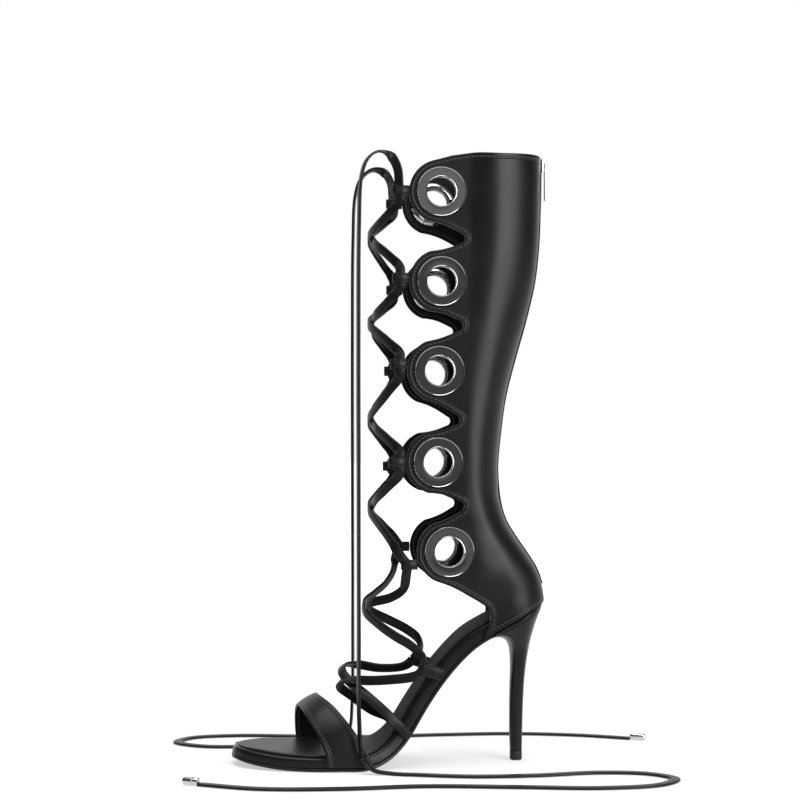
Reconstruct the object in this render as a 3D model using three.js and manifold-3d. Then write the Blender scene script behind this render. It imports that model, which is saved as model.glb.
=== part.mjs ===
// A knee-high gladiator sandal with a slim heel: the left shoe, unbent and standing on its sole.
// Millimetres, +Z up, toe towards -X, outer (lateral) side towards -Y.
// The origin is at the middle of the heel's foot, on the floor.
import * as THREE from "three";
import { mergeVertices } from "three/addons/utils/BufferGeometryUtils.js";
import Module from "manifold-3d";

const wasm = await Module();
wasm.setup();

// ---------- driving dimensions ----------
const gap = 0.3;
const wall = 2;
const outsoleThick = 2.5;
const boardThickFront = 6.8;
const boardThickArch = 8.2;
const insoleThick = 1.6;
const insoleInset = 3.4;
const topPieceThick = 6.8;
const laceWidth = 7;
const laceThick = 2;
const ringRadius = 18;
const ringHole = 10.4;
const ringSides = 16;
const lobeRadius = 23;
const notchHollow = 1.5;
const panelHalf = 36;
const keeper = { reach: 12, thick: 5, skin: 1.2, height: 7 };
const archLoop = { reach: 17, thick: 5, skin: 1.2, height: 9 };
const aglet = { length: 12, radius: 2.8 };

const Y = new THREE.Vector3(0, 1, 0);
const point = (x, y, z) => new THREE.Vector3(x, y, z);
const toPoints = (rows) => rows.map((row) => point(...row));
const between = (a, b, t) => a + (b - a) * t;

// ---------- materials ----------
const paint = (color, roughness, metalness = 0) => () =>
  new THREE.MeshStandardMaterial({ color, roughness, metalness });
const leather = paint(0x141416, 0.38);
const lining = paint(0x26262a, 0.5);
const heelSkin = paint(0x101012, 0.25);
const rubber = paint(0x0c0c0c, 0.6);
const soleSkin = paint(0x2a2a2d, 0.3);
const chrome = paint(0xb9bcc2, 0.15, 1);
const nickel = paint(0xa8aab0, 0.3, 1);
const tape = paint(0x0a0a0b, 0.7);

const shoe = new THREE.Group();
shoe.name = "gladiator_sandal";

function addPart(name, geometry, material, parent = shoe) {
  const mesh = new THREE.Mesh(geometry, material());
  mesh.name = name;
  parent.add(mesh);
  return mesh;
}

// ---------- solids ----------
function merged(geometry) {
  const bare = geometry.clone();
  bare.deleteAttribute("normal");
  bare.deleteAttribute("uv");
  return mergeVertices(bare, 1e-4);
}

function toSolid(geometry) {
  const bare = merged(geometry);
  const vertProperties = new Float32Array(bare.attributes.position.array);
  const triVerts = new Uint32Array(bare.index.array);
  return new wasm.Manifold(new wasm.Mesh({ numProp: 3, vertProperties, triVerts }));
}

function toGeometry(solid) {
  const mesh = solid.getMesh();
  const geometry = new THREE.BufferGeometry();
  geometry.setAttribute("position", new THREE.BufferAttribute(mesh.vertProperties, 3));
  geometry.setIndex(new THREE.BufferAttribute(mesh.triVerts, 1));
  geometry.computeVertexNormals();
  return geometry;
}

const cut = (geometry, ...tools) =>
  toGeometry(tools.reduce((solid, tool) => solid.subtract(toSolid(tool)), toSolid(geometry)));
const joined = (geometry, ...more) =>
  toGeometry(more.reduce((solid, next) => solid.add(toSolid(next)), toSolid(geometry)));
const common = (a, b) => toGeometry(toSolid(a).intersect(toSolid(b)));

function signedVolume(positions, index) {
  const corner = [0, 1, 2].map(() => new THREE.Vector3());
  let sum = 0;
  for (let i = 0; i < index.length; i += 3) {
    corner.forEach((v, k) => v.fromArray(positions, 3 * index[i + k]));
    sum += corner[0].dot(corner[1].clone().cross(corner[2]));
  }
  return sum;
}

// A closed solid through rings that have the same number of points, with a flat cap at each end.
function loft(rings) {
  const size = rings[0].length;
  const positions = rings.flatMap((ring) => ring.flatMap((p) => [p.x, p.y, p.z]));
  const index = [];
  for (let i = 0; i + 1 < rings.length; i++) {
    for (let k = 0; k < size; k++) {
      const [a, b] = [i * size + k, i * size + ((k + 1) % size)];
      index.push(a, b, b + size, a, b + size, a + size);
    }
  }
  const last = (rings.length - 1) * size;
  for (const face of capFaces(rings[0])) {
    index.push(face[2], face[1], face[0]);
  }
  for (const face of capFaces(rings.at(-1))) {
    index.push(...face.map((k) => k + last));
  }
  if (signedVolume(positions, index) < 0) {
    index.reverse();
  }
  const geometry = new THREE.BufferGeometry();
  geometry.setAttribute("position", new THREE.Float32BufferAttribute(positions, 3));
  geometry.setIndex(index);
  geometry.computeVertexNormals();
  return geometry;
}

// The triangles that fill a flat ring, by its own plane.
function capFaces(ring) {
  const normal = new THREE.Vector3();
  ring.forEach((p, k) => normal.add(p.clone().cross(ring[(k + 1) % ring.length])));
  normal.normalize();
  const across = ring[1].clone().sub(ring[0]).normalize();
  const up = normal.clone().cross(across);
  const flat = ring.map((p) => new THREE.Vector2(p.dot(across), p.dot(up)));
  return THREE.ShapeUtils.triangulateShape(flat, []);
}

// A prism along Y, from an outline of [x, z] rows.
function sidePrism(outline, halfWidth) {
  const shape = new THREE.Shape(outline.map(([x, z]) => new THREE.Vector2(x, z)));
  const prism = new THREE.ExtrudeGeometry(shape, { depth: 2 * halfWidth, bevelEnabled: false });
  return prism.rotateX(Math.PI / 2).translate(0, halfWidth, 0);
}

// A table's column as a smooth function of its first column.
function column(table, key, name) {
  const rows = table.map((row) => point(row[key], row[name], 0));
  return (at) => {
    const last = rows.length - 1;
    const i = Math.min(Math.max(rows.findIndex((row) => row.x > at) - 1, 0), last - 1);
    const k = at >= rows[last].x ? last - 1 : i;
    const [a, b] = [rows[k], rows[k + 1]];
    const slope = (p, q) => (q.y - p.y) / (q.x - p.x);
    const bend = (m) => {
      if (m === 0 || m === last) {
        return m === 0 ? slope(rows[0], rows[1]) : slope(rows[last - 1], rows[last]);
      }
      return (slope(rows[m - 1], rows[m]) + slope(rows[m], rows[m + 1])) / 2;
    };
    const wide = b.x - a.x;
    const t = Math.min(Math.max((at - a.x) / wide, 0), 1);
    const [t2, t3] = [t * t, t * t * t];
    const start = a.y * (2 * t3 - 3 * t2 + 1) + bend(k) * wide * (t3 - 2 * t2 + t);
    return start + b.y * (3 * t2 - 2 * t3) + bend(k + 1) * wide * (t3 - t2);
  };
}

// ---------- the sole's own shape ----------
// Underside height, and how far the edge is from the middle line on the outer and inner side.
const soleTable = [
  { x: -206, under: 5.6, outer: 6, inner: 8, thick: -1.2 },
  { x: -203, under: 5.2, outer: 13.5, inner: 14, thick: -0.9 },
  { x: -197, under: 4.2, outer: 21.5, inner: 20.5, thick: -0.5 },
  { x: -187, under: 2.6, outer: 28.5, inner: 28.5, thick: -0.15 },
  { x: -172, under: 0.9, outer: 35, inner: 37.6, thick: 0 },
  { x: -150, under: 0, outer: 40, inner: 42.5, thick: 0 },
  { x: -128, under: 0, outer: 41, inner: 41, thick: 0 },
  { x: -112, under: 0, outer: 39.5, inner: 37, thick: 0.1 },
  { x: -100, under: 3.4, outer: 36.5, inner: 32.5, thick: 0.4 },
  { x: -90, under: 9.8, outer: 33.5, inner: 28.5, thick: 0.8 },
  { x: -80, under: 20.8, outer: 30.5, inner: 25, thick: 1 },
  { x: -68, under: 40.2, outer: 28, inner: 22.5, thick: 1 },
  { x: -56, under: 57.8, outer: 26.5, inner: 22, thick: 1 },
  { x: -44, under: 72.2, outer: 26, inner: 23, thick: 1 },
  { x: -32, under: 83.6, outer: 26.3, inner: 25, thick: 1 },
  { x: -19, under: 91.8, outer: 27, inner: 26.6, thick: 0.8 },
  { x: -5, under: 98.9, outer: 26.4, inner: 26.4, thick: 0.6 },
  { x: 8, under: 106.7, outer: 21, inner: 21, thick: 0.5 },
  { x: 14, under: 110.3, outer: 13.5, inner: 13.5, thick: 0.5 },
  { x: 17, under: 112.2, outer: 5.5, inner: 5.5, thick: 0.5 },
];
const under = column(soleTable, "x", "under");

function underNormal(x) {
  const rise = under(x + 0.5) - under(x - 0.5);
  return point(-rise, 0, 1).normalize();
}

// A point of the sole, so far above the underside along its own normal.
const onSole = (x, y, height) => point(x, y, under(x)).addScaledVector(underNormal(x), height);

// One layer of the sole, between two heights above the underside, with its edge moved in or out.
function soleLayer({ from, to, inset = 0, bevel = 0.6, first = -206, last = 17 }) {
  const rows = soleTable.filter((row) => row.x >= first && row.x <= last);
  return loft(
    rows.map((row) => {
      const [outer, inner] = [-(row.outer - inset), row.inner - inset];
      const [low, high] = [from(row), to(row)];
      const ring = [
        [outer + bevel, low],
        [inner - bevel, low],
        [inner, low + bevel],
        [inner, high - bevel],
        [inner - bevel, high],
        [outer + bevel, high],
        [outer, high - bevel],
        [outer, low + bevel],
      ];
      return ring.map(([y, height]) => onSole(row.x, y, height));
    }),
  );
}

const boardTop = (row) => outsoleThick + gap + between(boardThickFront, boardThickArch, row.thick);
const insoleTop = (row) => boardTop(row) + gap + insoleThick;

function makeSole() {
  const seatFront = -19;
  addPart(
    "outsole",
    soleLayer({ from: () => 0, to: () => outsoleThick, bevel: 0.5, last: seatFront }),
    soleSkin,
  );
  addPart("sole_board", soleLayer({ from: () => outsoleThick + gap, to: boardTop }), leather);
  const insole = soleLayer({
    from: (row) => boardTop(row) + gap,
    to: insoleTop,
    inset: insoleInset,
    bevel: 0.5,
  });
  addPart("insole", insole, lining);
}

// Everything that the sole fills, grown by the gap: what stands on it or round it is cut with this.
const soleClearance = (inset = -gap) =>
  soleLayer({ from: () => -gap, to: (row) => boardTop(row) + gap, inset, bevel: 0.3 });

// ---------- heel ----------
const heelTable = [
  { z: 7.1, back: 4.4, breast: -4.4, half: 4.5 },
  { z: 20, back: 4.7, breast: -4.8, half: 4.7 },
  { z: 40, back: 5.3, breast: -4.8, half: 5.2 },
  { z: 58, back: 6.3, breast: -4.4, half: 6.4 },
  { z: 70, back: 7.6, breast: -4.0, half: 8.2 },
  { z: 78, back: 8.8, breast: -4.4, half: 10.6 },
  { z: 84, back: 9.8, breast: -5.6, half: 13.6 },
  { z: 88, back: 10.5, breast: -8.8, half: 17 },
  { z: 90, back: 10.9, breast: -14, half: 19 },
  { z: 92, back: 11.4, breast: -20, half: 20.8 },
  { z: 97, back: 12.6, breast: -23.5, half: 24.4 },
  { z: 104, back: 14.8, breast: -24, half: 27.4 },
  { z: 112, back: 18.2, breast: -24, half: 29 },
  { z: 118, back: 19.5, breast: -24, half: 29.2 },
];

// A heel section: round at the back, with a flatter breast.
function oval({ z, back, breast, half }) {
  const sides = 14;
  const [middle, long] = [(back + breast) / 2, (back - breast) / 2];
  return Array.from({ length: sides }, (_, k) => {
    const turn = (2 * Math.PI * k) / sides;
    const [c, s] = [Math.cos(turn), Math.sin(turn)];
    const round = (v, blunt) => Math.sign(v) * Math.abs(v) ** blunt;
    return point(middle + long * round(c, c < 0 ? 0.5 : 0.85), half * round(s, 0.85), z);
  });
}

function makeHeel() {
  const seat = soleTable.filter((row) => row.x >= -32);
  const line = seat.map((row) => {
    const p = onSole(row.x, 0, row.x < -18 ? -gap : outsoleThick);
    return [p.x, p.z];
  });
  const above = sidePrism([[-50, 70], ...line, [40, 127], [40, 140], [-50, 140]], 60);
  addPart("heel", cut(loft(heelTable.map((row) => oval(row))), above), heelSkin);
  const foot = heelTable[0];
  const tip = [0, topPieceThick].map((z) => oval({ ...foot, z }));
  addPart("top_piece", loft(tip), rubber);
}

// ---------- shaft ----------
// Back line, where the rounding at the back starts, half width there, where the flat front ends,
// and the flat front's own half width, which draws in at the counter to hug the sole.
const shaftTable = [
  { z: 80, back: 19.6, round: -8, half: 29.6, flat: -36, panel: 29.4 },
  { z: 106, back: 19.8, round: -8, half: 29.7, flat: -36, panel: 29.4 },
  { z: 119, back: 20.2, round: -8, half: 30, flat: -36, panel: 31.8 },
  { z: 130, back: 18.2, round: -9, half: 30.4, flat: -36, panel: 35.4 },
  { z: 140, back: 14.4, round: -12, half: 30.8, flat: -34, panel: 36 },
  { z: 151, back: 7.4, round: -17, half: 31, flat: -33.5, panel: 36 },
  { z: 162, back: -0.2, round: -23, half: 31.3, flat: -33.5, panel: 36 },
  { z: 174, back: -7.4, round: -29, half: 31.8, flat: -37, panel: 36 },
  { z: 186, back: -11.2, round: -33, half: 32.4, flat: -40, panel: 36 },
  { z: 201, back: -13.2, round: -36, half: 33, flat: -41, panel: 36 },
  { z: 217, back: -13.6, round: -37, half: 33.8, flat: -41, panel: 36 },
  { z: 233, back: -12.2, round: -38, half: 34.4, flat: -41, panel: 36 },
  { z: 264, back: -7.9, round: -38, half: 35.8, flat: -40, panel: 36 },
  { z: 295, back: 0, round: -37, half: 36.8, flat: -40, panel: 36 },
  { z: 312, back: 4.9, round: -36.5, half: 37.4, flat: -39, panel: 36 },
  { z: 329, back: 9.4, round: -35.5, half: 38, flat: -38.5, panel: 36 },
  { z: 350, back: 14, round: -33, half: 38.6, flat: -38.5, panel: 36 },
  { z: 375, back: 16.8, round: -31, half: 39.2, flat: -38.5, panel: 36 },
  { z: 400, back: 17.9, round: -30, half: 39.4, flat: -38.5, panel: 36 },
  { z: 425, back: 18.5, round: -30, half: 39.2, flat: -38.5, panel: 36 },
  { z: 448, back: 18.6, round: -30, half: 39, flat: -38.5, panel: 36 },
];
const shaftFront = -92;

const smooth = (t) => {
  const s = Math.min(Math.max(t, 0), 1);
  return s * s * (3 - 2 * s);
};

// Half of the shaft's section at a height, from the open front to the back line, as [x, y] rows.
function halfSection(row, inset) {
  const turns = 7;
  const wide = (x) => between(row.panel, row.half, smooth((x - row.flat) / (row.round + 18 - row.flat)));
  const front = [
    [shaftFront, row.panel],
    [row.flat, row.panel],
  ];
  const back = Array.from({ length: turns + 1 }, (_, k) => {
    const turn = (Math.PI / 2) * (k / turns);
    const x = between(row.round, row.back, Math.sin(turn));
    return [x, wide(x) * Math.cos(turn) ** 0.92];
  });
  const line = [...front, ...back];
  line[line.length - 1][1] = 0;
  return line.map(([x, y], k) => {
    const [a, b] = [line[Math.max(k - 1, 0)], line[Math.min(k + 1, line.length - 1)]];
    const along = new THREE.Vector2(b[0] - a[0], b[1] - a[1]).normalize();
    const isEnd = k === line.length - 1;
    return isEnd ? [x - inset, 0] : [x + along.y * inset, y - along.x * inset];
  });
}

function shaftRing(row) {
  const mirrored = (rows) => rows.slice(0, -1).map(([x, y]) => [x, -y]);
  const around = (inset) => {
    const half = halfSection(row, inset);
    return [...mirrored(half), ...half.slice().reverse()];
  };
  return [...around(0), ...around(wall).reverse()].map(([x, y]) => point(x, y, row.z));
}

// Ring centres, the notch below each ring, and each keeper's height on the outer and inner side.
const scallops = [
  { x: -57.6, z: 410, notchX: -40.5, notchZ: 377.4, outerKeeper: 410.6, innerKeeper: 410.4 },
  { x: -57.4, z: 345.9, notchX: -42.2, notchZ: 315.2, outerKeeper: 348.2, innerKeeper: 345.4 },
  { x: -59, z: 282, notchX: -44.4, notchZ: 247.9, outerKeeper: 286.6, innerKeeper: 284.6 },
  { x: -60, z: 217, notchX: -41.3, notchZ: 186.4, outerKeeper: 216.8, innerKeeper: 213.4 },
  { x: -52, z: 153.5, notchX: -34, notchZ: 119, outerKeeper: 144.5, innerKeeper: 153.4 },
];

// The front edge of one lobe: a round part about the ring, reached by slightly hollow lines to the notches.
function lobe(ring, above, below, steps = 10) {
  const touch = (notch, side) => {
    const [dx, dz] = [notch[0] - ring.x, notch[1] - ring.z];
    return Math.atan2(dz, dx) + side * Math.acos(lobeRadius / Math.hypot(dx, dz));
  };
  const start = touch(above, 1);
  const end = touch(below, -1) + 2 * Math.PI;
  const arc = Array.from({ length: steps + 1 }, (_, k) => {
    const turn = between(start, end, k / steps);
    return [ring.x + lobeRadius * Math.cos(turn), ring.z + lobeRadius * Math.sin(turn)];
  });
  const hollow = (from, to, depth) => {
    const middle = [between(from[0], to[0], 0.5), between(from[1], to[1], 0.5)];
    return [middle[0], middle[1] + (middle[1] > ring.z ? -depth : depth)];
  };
  const isTop = ring === scallops[0];
  const upper = isTop ? [] : [hollow(above, arc[0], notchHollow)];
  return [...upper, ...arc, hollow(arc.at(-1), below, notchHollow)];
}

// A notch ends in a round bay.
function notchOutline({ notchX, notchZ }) {
  const bay = 3.6;
  return [1.3, 0.55, -0.2, -0.95].map((turn) => [
    notchX - bay * (1 - Math.cos(turn)),
    notchZ - 0.6 + bay * Math.sin(turn),
  ]);
}

function panelOutline() {
  const collar = [
    [30, 440.2],
    [19, 439.8],
    [13, 439.1],
    [-2, 438.9],
    [-22, 438.7],
    [-33, 438.5],
    [-43, 437.3],
    [-50, 435.6],
  ];
  const front = scallops.flatMap((ring, k) => {
    const last = k === scallops.length - 1;
    const above = k === 0 ? collar.at(-1) : [scallops[k - 1].notchX, scallops[k - 1].notchZ];
    const below = [ring.notchX, ring.notchZ];
    return [...lobe(ring, above, below), ...(last ? [] : notchOutline(ring))];
  });
  const foot = [
    [-34, 119.5],
    [-27.6, 115.6],
    [-23.2, 112.4],
    [-21.6, 107.8],
    [-22.2, 103],
    [-24.6, 97],
  ];
  const seatLine = (x) => onSole(x, 0, outsoleThick + gap);
  const seat = soleTable.filter((row) => row.x >= -19).map((row) => seatLine(row.x));
  const bottom = [seatLine(-26), ...seat].map((p) => [p.x, p.z]);
  return [...collar, ...front, ...foot, ...bottom, [30, bottom.at(-1)[1] + 8]];
}

const yCylinder = (radius, length) => new THREE.CylinderGeometry(radius, radius, length, ringSides);

// The counter's front edge stands a little further back on the inner side of the foot.
const innerRelief = [
  [-38, 121.4],
  [-26, 114.6],
  [-20.4, 111],
  [-19.4, 106],
  [-20.8, 97],
  [-30, 90],
];

function makeShaft() {
  const shell = loft(shaftTable.map((row) => shaftRing(row)));
  const panels = common(shell, sidePrism(panelOutline(), 70));
  const relief = sidePrism(innerRelief, 20).translate(0, 25, 0);
  const holes = scallops.map((ring) => yCylinder(ringHole + 1 + gap, 120).translate(ring.x, 0, ring.z));
  addPart("shaft", cut(panels, relief, ...holes, soleClearance()), leather);
}

// ---------- grommets: a barrel through the panel and a flat flange on each side ----------
function makeGrommets() {
  const barrel = ringHole + 1;
  const [out, inside] = [gap, -wall - gap];
  const profile = [
    [ringHole, inside - 1.2],
    [ringRadius - 2, inside - 1.2],
    [ringRadius - 2, inside],
    [barrel, inside],
    [barrel, out],
    [ringRadius, out],
    [ringRadius - 0.5, out + 1.2],
    [ringHole, out + 1.2],
    [ringHole, inside - 1.2],
  ].map(([r, h]) => new THREE.Vector2(r, h));
  for (const [side, name] of [[-1, "lateral"], [1, "medial"]]) {
    scallops.forEach((ring, k) => {
      const lathe = new THREE.LatheGeometry(profile, ringSides);
      const mesh = addPart(`grommet_${name}_${k + 1}`, merged(lathe), chrome);
      mesh.position.set(ring.x, side * panelHalf, ring.z);
      mesh.rotation.x = side < 0 ? Math.PI : 0;
    });
  }
}

// ---------- loops ----------
// A leather loop: a flat tab folded round the lace, its fold towards -X and its height along Z.
function loopGeometry({ reach, thick, skin, height }) {
  const half = thick / 2;
  const shape = new THREE.Shape();
  shape.moveTo(0, -half);
  shape.lineTo(0, half);
  shape.lineTo(-reach + half, half);
  shape.absarc(-reach + half, 0, half, Math.PI / 2, (3 * Math.PI) / 2, false);
  const inner = half - skin;
  const hole = new THREE.Path();
  hole.moveTo(-skin - 0.6, -inner);
  hole.lineTo(-skin - 0.6, inner);
  hole.lineTo(-reach + half, inner);
  hole.absarc(-reach + half, 0, inner, Math.PI / 2, (3 * Math.PI) / 2, false);
  shape.holes.push(hole);
  const solid = new THREE.ExtrudeGeometry(shape, { depth: height, bevelEnabled: false, curveSegments: 3 });
  return solid.translate(0, 0, -height / 2);
}

// The front edge of the panel at a height, on a scallop's round part.
const tipX = (ring, z) => ring.x - Math.sqrt(Math.max(lobeRadius ** 2 - (z - ring.z) ** 2, 0));

const archLoops = [
  { name: "lateral", x: -56.5, y: -31.5, z: 66, tilt: 0.3 },
  { name: "medial", x: -59, y: 26.2, z: 66, tilt: 0.3 },
];

function makeLoops() {
  for (const [side, name] of [[-1, "lateral"], [1, "medial"]]) {
    scallops.forEach((ring, k) => {
      const z = side < 0 ? ring.outerKeeper : ring.innerKeeper;
      const reach = Math.max(...[-0.5, 0, 0.5].map((part) => -tipX(ring, z + part * keeper.height)));
      const mesh = addPart(`keeper_${name}_${k + 1}`, loopGeometry(keeper), leather);
      mesh.position.set(-reach - gap, side * (panelHalf - wall / 2), z);
    });
  }
  for (const row of archLoops) {
    const mesh = addPart(`arch_loop_${row.name}`, loopGeometry(archLoop), leather);
    mesh.position.set(row.x, row.y, row.z);
    mesh.rotation.y = row.tilt;
  }
}

// ---------- toe strap ----------
// Front and back edge of the band, from its outer foot over the toes to its inner foot.
const strapTable = [
  { front: [-138.5, -41.2, 3], back: [-106.5, -38.9, 3] },
  { front: [-140.5, -41, 13], back: [-111.5, -38.4, 16] },
  { front: [-145.5, -36.6, 24.5], back: [-121.5, -35, 30] },
  { front: [-152, -24, 34.6], back: [-132.5, -24, 42] },
  { front: [-156.5, -6, 38.8], back: [-142, -6, 47.6] },
  { front: [-159, 14, 37.8], back: [-144.5, 13, 46.4] },
  { front: [-160.5, 30, 30.5], back: [-143, 29, 38] },
  { front: [-160.5, 40.6, 17], back: [-136, 40.4, 22] },
  { front: [-159, 42.8, 3], back: [-125, 41.4, 3] },
];

function makeToeStrap() {
  const steps = 26;
  const [front, back] = ["front", "back"].map(
    (edge) => new THREE.CatmullRomCurve3(toPoints(strapTable.map((row) => row[edge]))),
  );
  const rings = Array.from({ length: steps + 1 }, (_, k) => {
    const t = k / steps;
    const [f, b] = [front.getPoint(t), back.getPoint(t)];
    const middle = f.clone().lerp(b, 0.5);
    const along = front.getTangent(t).add(back.getTangent(t)).normalize();
    const out = b.clone().sub(f).cross(along).normalize();
    middle.addScaledVector(out, 1);
    const skin = [f, middle, b].map((p) => p.clone().addScaledVector(out, wall));
    return [f, middle, b, ...skin.reverse()];
  });
  const insoleClearance = soleLayer({
    from: () => 0,
    to: (row) => insoleTop(row) + gap,
    inset: insoleInset - gap,
    bevel: 0.3,
  });
  addPart("toe_strap", cut(loft(rings), soleClearance(), insoleClearance), leather);
}

// ---------- laces ----------
// Sections of the flat lace, as shares of its width and thickness.
const plainSection = [
  [-0.5, -0.5],
  [0.5, -0.5],
  [0.5, 0.5],
  [-0.5, 0.5],
];
const roundSection = [
  [-0.5, -0.2],
  [-0.38, -0.5],
  [0.38, -0.5],
  [0.5, -0.2],
  [0.5, 0.2],
  [0.38, 0.5],
  [-0.38, 0.5],
  [-0.5, 0.2],
];

// A flat lace along a curve. face(p) is the direction that its flat side looks at a point.
function flatLace(points, steps, face, section = plainSection) {
  const curve = new THREE.CatmullRomCurve3(points, false, "centripetal");
  return loft(
    Array.from({ length: steps + 1 }, (_, k) => {
      const p = curve.getPointAt(k / steps);
      const along = curve.getTangentAt(k / steps);
      const flat = face(p).addScaledVector(along, -face(p).dot(along)).normalize();
      const across = along.clone().cross(flat);
      return section.map(([u, v]) =>
        p.clone().addScaledVector(across, u * laceWidth).addScaledVector(flat, v * laceThick),
      );
    }),
  );
}

// Each crossing: the four ends and the front, between one pair of loops and the next pair up.
const laceFrontX = -106.4;
const legAxis = -58;
const crossings = [
  { z: 380.5, low: 1, high: 0 },
  { z: 317.5, low: 2, high: 1 },
  { z: 247.5, low: 3, high: 2 },
  { z: 183.3, low: 4, high: 3 },
];

function makeLaces() {
  const awayFromLeg = (p) => point(p.x - legAxis, p.y, 0).normalize();
  crossings.forEach(({ z, low, high }, k) => {
    const strand = (side) => {
      const from = side < 0 ? scallops[low].outerKeeper : scallops[low].innerKeeper;
      const to = side < 0 ? scallops[high].innerKeeper : scallops[high].outerKeeper;
      const rise = keeper.height / 2 + 3;
      const lift = (part) => between(from + rise, z, part);
      const fall = (part) => between(z, to - rise, part);
      return flatLace(
        toPoints([
          [-87, side * 36, from + rise],
          [-95.6, side * 27, lift(0.42)],
          [-103.6, side * 14, lift(0.76)],
          [laceFrontX, 0, z],
          [-103.6, -side * 14, fall(0.24)],
          [-95.6, -side * 27, fall(0.58)],
          [-87, -side * 36, to - rise],
        ]),
        12,
        awayFromLeg,
      );
    };
    addPart(`lace_cross_${k + 1}`, joined(strand(-1), strand(1)), leather);
  });
  addPart("lace_cross_5", joined(...instepStrands()), leather);
  addPart("lace_cross_6", joined(...toeStrands()), leather);
}

// From the arch loops, over the instep, to the lowest keepers.
function instepStrands() {
  const face = (p) => point(p.x + 62, p.y, (p.z - 85) * 0.25).normalize();
  const outer = toPoints([
    [-69.8, -31.4, 79],
    [-79.7, -30, 87.2],
    [-90.1, -26, 93.2],
    [-101.4, -16, 100.6],
    [-109.2, -4, 108],
    [-109.9, 4, 114.1],
    [-103.4, 13, 119.6],
    [-93.8, 22, 126.8],
    [-87.6, 29, 135.8],
    [-85.8, 34, 144],
  ]);
  const inner = toPoints([
    [-70.5, 26.4, 79],
    [-73, 25.5, 85],
    [-80, 22.5, 91.6],
    [-92.6, 13, 100.6],
    [-106.4, 3, 108.3],
    [-110.6, -5, 112.8],
    [-105.2, -14, 116.4],
    [-92.8, -25, 120.6],
    [-84.6, -31.5, 127.2],
    [-82.8, -35, 135.4],
  ]);
  return [outer, inner].map((points) => flatLace(points, 14, face));
}

// From the sole's edge, over the foot, to the arch loops.
function toeStrands() {
  const face = (p) => point(p.x + 88, p.y, p.z - 14).normalize();
  const outer = toPoints([
    [-87.8, -34.6, 33.4],
    [-98.2, -32, 42.3],
    [-110.6, -24, 51.2],
    [-120.9, -13, 58.4],
    [-126.3, -3, 64.3],
    [-124.5, 6, 68.1],
    [-115.4, 14, 68.1],
    [-98, 22, 64.4],
    [-80, 26.5, 64.8],
  ]);
  const inner = toPoints([
    [-90.6, 30, 27],
    [-103.7, 26, 35.1],
    [-119, 14, 48],
    [-127.5, 3, 56.5],
    [-127.1, -6, 60.2],
    [-120.3, -15, 60.8],
    [-106.4, -24, 61.5],
    [-92.4, -29, 62.8],
    [-78, -31.6, 64.4],
  ]);
  return [outer, inner].map((points) => flatLace(points, 16, face));
}

// ---------- ties: the free ends, untied, hanging from the top keepers and lying on the floor ----------
const tieRoutes = {
  lateral: [
    [-88, -36, 416],
    [-89, -36.6, 426],
    [-94, -38.6, 434.5],
    [-103, -42, 437],
    [-111, -45.4, 431],
    [-115.4, -47.4, 418],
    [-117, -48.2, 385],
    [-117.4, -48.6, 300],
    [-117.2, -48.8, 200],
    [-117, -48.8, 100],
    [-116.6, -48.8, 36],
    [-114.6, -49, 14],
    [-108, -50, 3.6],
    [-96, -53, 1.15],
    [-74, -60, 1.1],
    [-38, -68, 1.1],
    [6, -67, 1.1],
    [50, -60, 1.1],
    [84, -67, 1.1],
    [98, -86, 1.1],
    [82, -106, 1.1],
    [42, -113, 1.1],
    [-14, -106, 1.1],
    [-74, -99, 1.1],
    [-132, -104, 1.1],
    [-186, -100, 1.1],
    [-226, -82, 1.1],
  ],
  medial: [
    [-88, 36, 416],
    [-89, 36.6, 426],
    [-94, 38.6, 434.5],
    [-103, 42, 437],
    [-111, 45.4, 431],
    [-115.4, 47.4, 418],
    [-117, 48.2, 385],
    [-117.4, 48.6, 300],
    [-117.2, 48.8, 200],
    [-117, 48.8, 100],
    [-117.4, 48.8, 36],
    [-119.6, 49, 14],
    [-126, 50, 3.6],
    [-138, 53, 1.15],
    [-160, 58, 1.1],
    [-196, 60, 1.1],
    [-230, 64, 1.1],
    [-250, 82, 1.1],
    [-240, 102, 1.1],
    [-206, 110, 1.1],
    [-156, 104, 1.1],
    [-100, 98, 1.1],
    [-44, 103, 1.1],
    [12, 104, 1.1],
    [62, 93, 1.1],
    [100, 76, 1.1],
  ],
};

// Forwards while the tie hangs, upwards where it turns over and where it lies down.
function tieFace(side) {
  return (p) => {
    const lying = 1 - smooth((p.z - 2) / 26);
    const front = smooth((-95 - p.x) / 14);
    const leaving = point(-0.6, side, 0).normalize().multiplyScalar(1 - front);
    const turned = smooth((p.z - 412) / 20) * smooth((-90 - p.x) / 8);
    const hanging = leaving.addScaledVector(point(-1, side * 0.2, 0), front);
    hanging.addScaledVector(point(0, 0, 1), turned);
    return hanging.multiplyScalar(1 - lying).addScaledVector(point(0, 0, 1), lying).normalize();
  };
}

function makeTies() {
  for (const [side, name] of [[-1, "lateral"], [1, "medial"]]) {
    const route = toPoints(tieRoutes[name]);
    addPart(`tie_${name}`, flatLace(route, 56, tieFace(side), roundSection), leather);
    const end = route.at(-1);
    const along = end.clone().sub(route.at(-2)).setZ(0).normalize();
    const tip = new THREE.CylinderGeometry(aglet.radius, aglet.radius, aglet.length, 12);
    const mesh = addPart(`aglet_${name}`, tip, nickel);
    mesh.position.copy(end).addScaledVector(along, aglet.length / 2 + gap).setZ(aglet.radius + 0.05);
    mesh.quaternion.setFromUnitVectors(Y, along);
  }
}

// ---------- zip ----------
const zip = { top: 429, bottom: 128, half: 3, thick: 0.8 };
const pullPivot = point(22.2, 0, 436);
const pull = { length: 27, half: 3, thick: 1.2, armFrom: 1.5, armTo: 2.4, eye: 4.6, pin: 0.65 };

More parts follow.
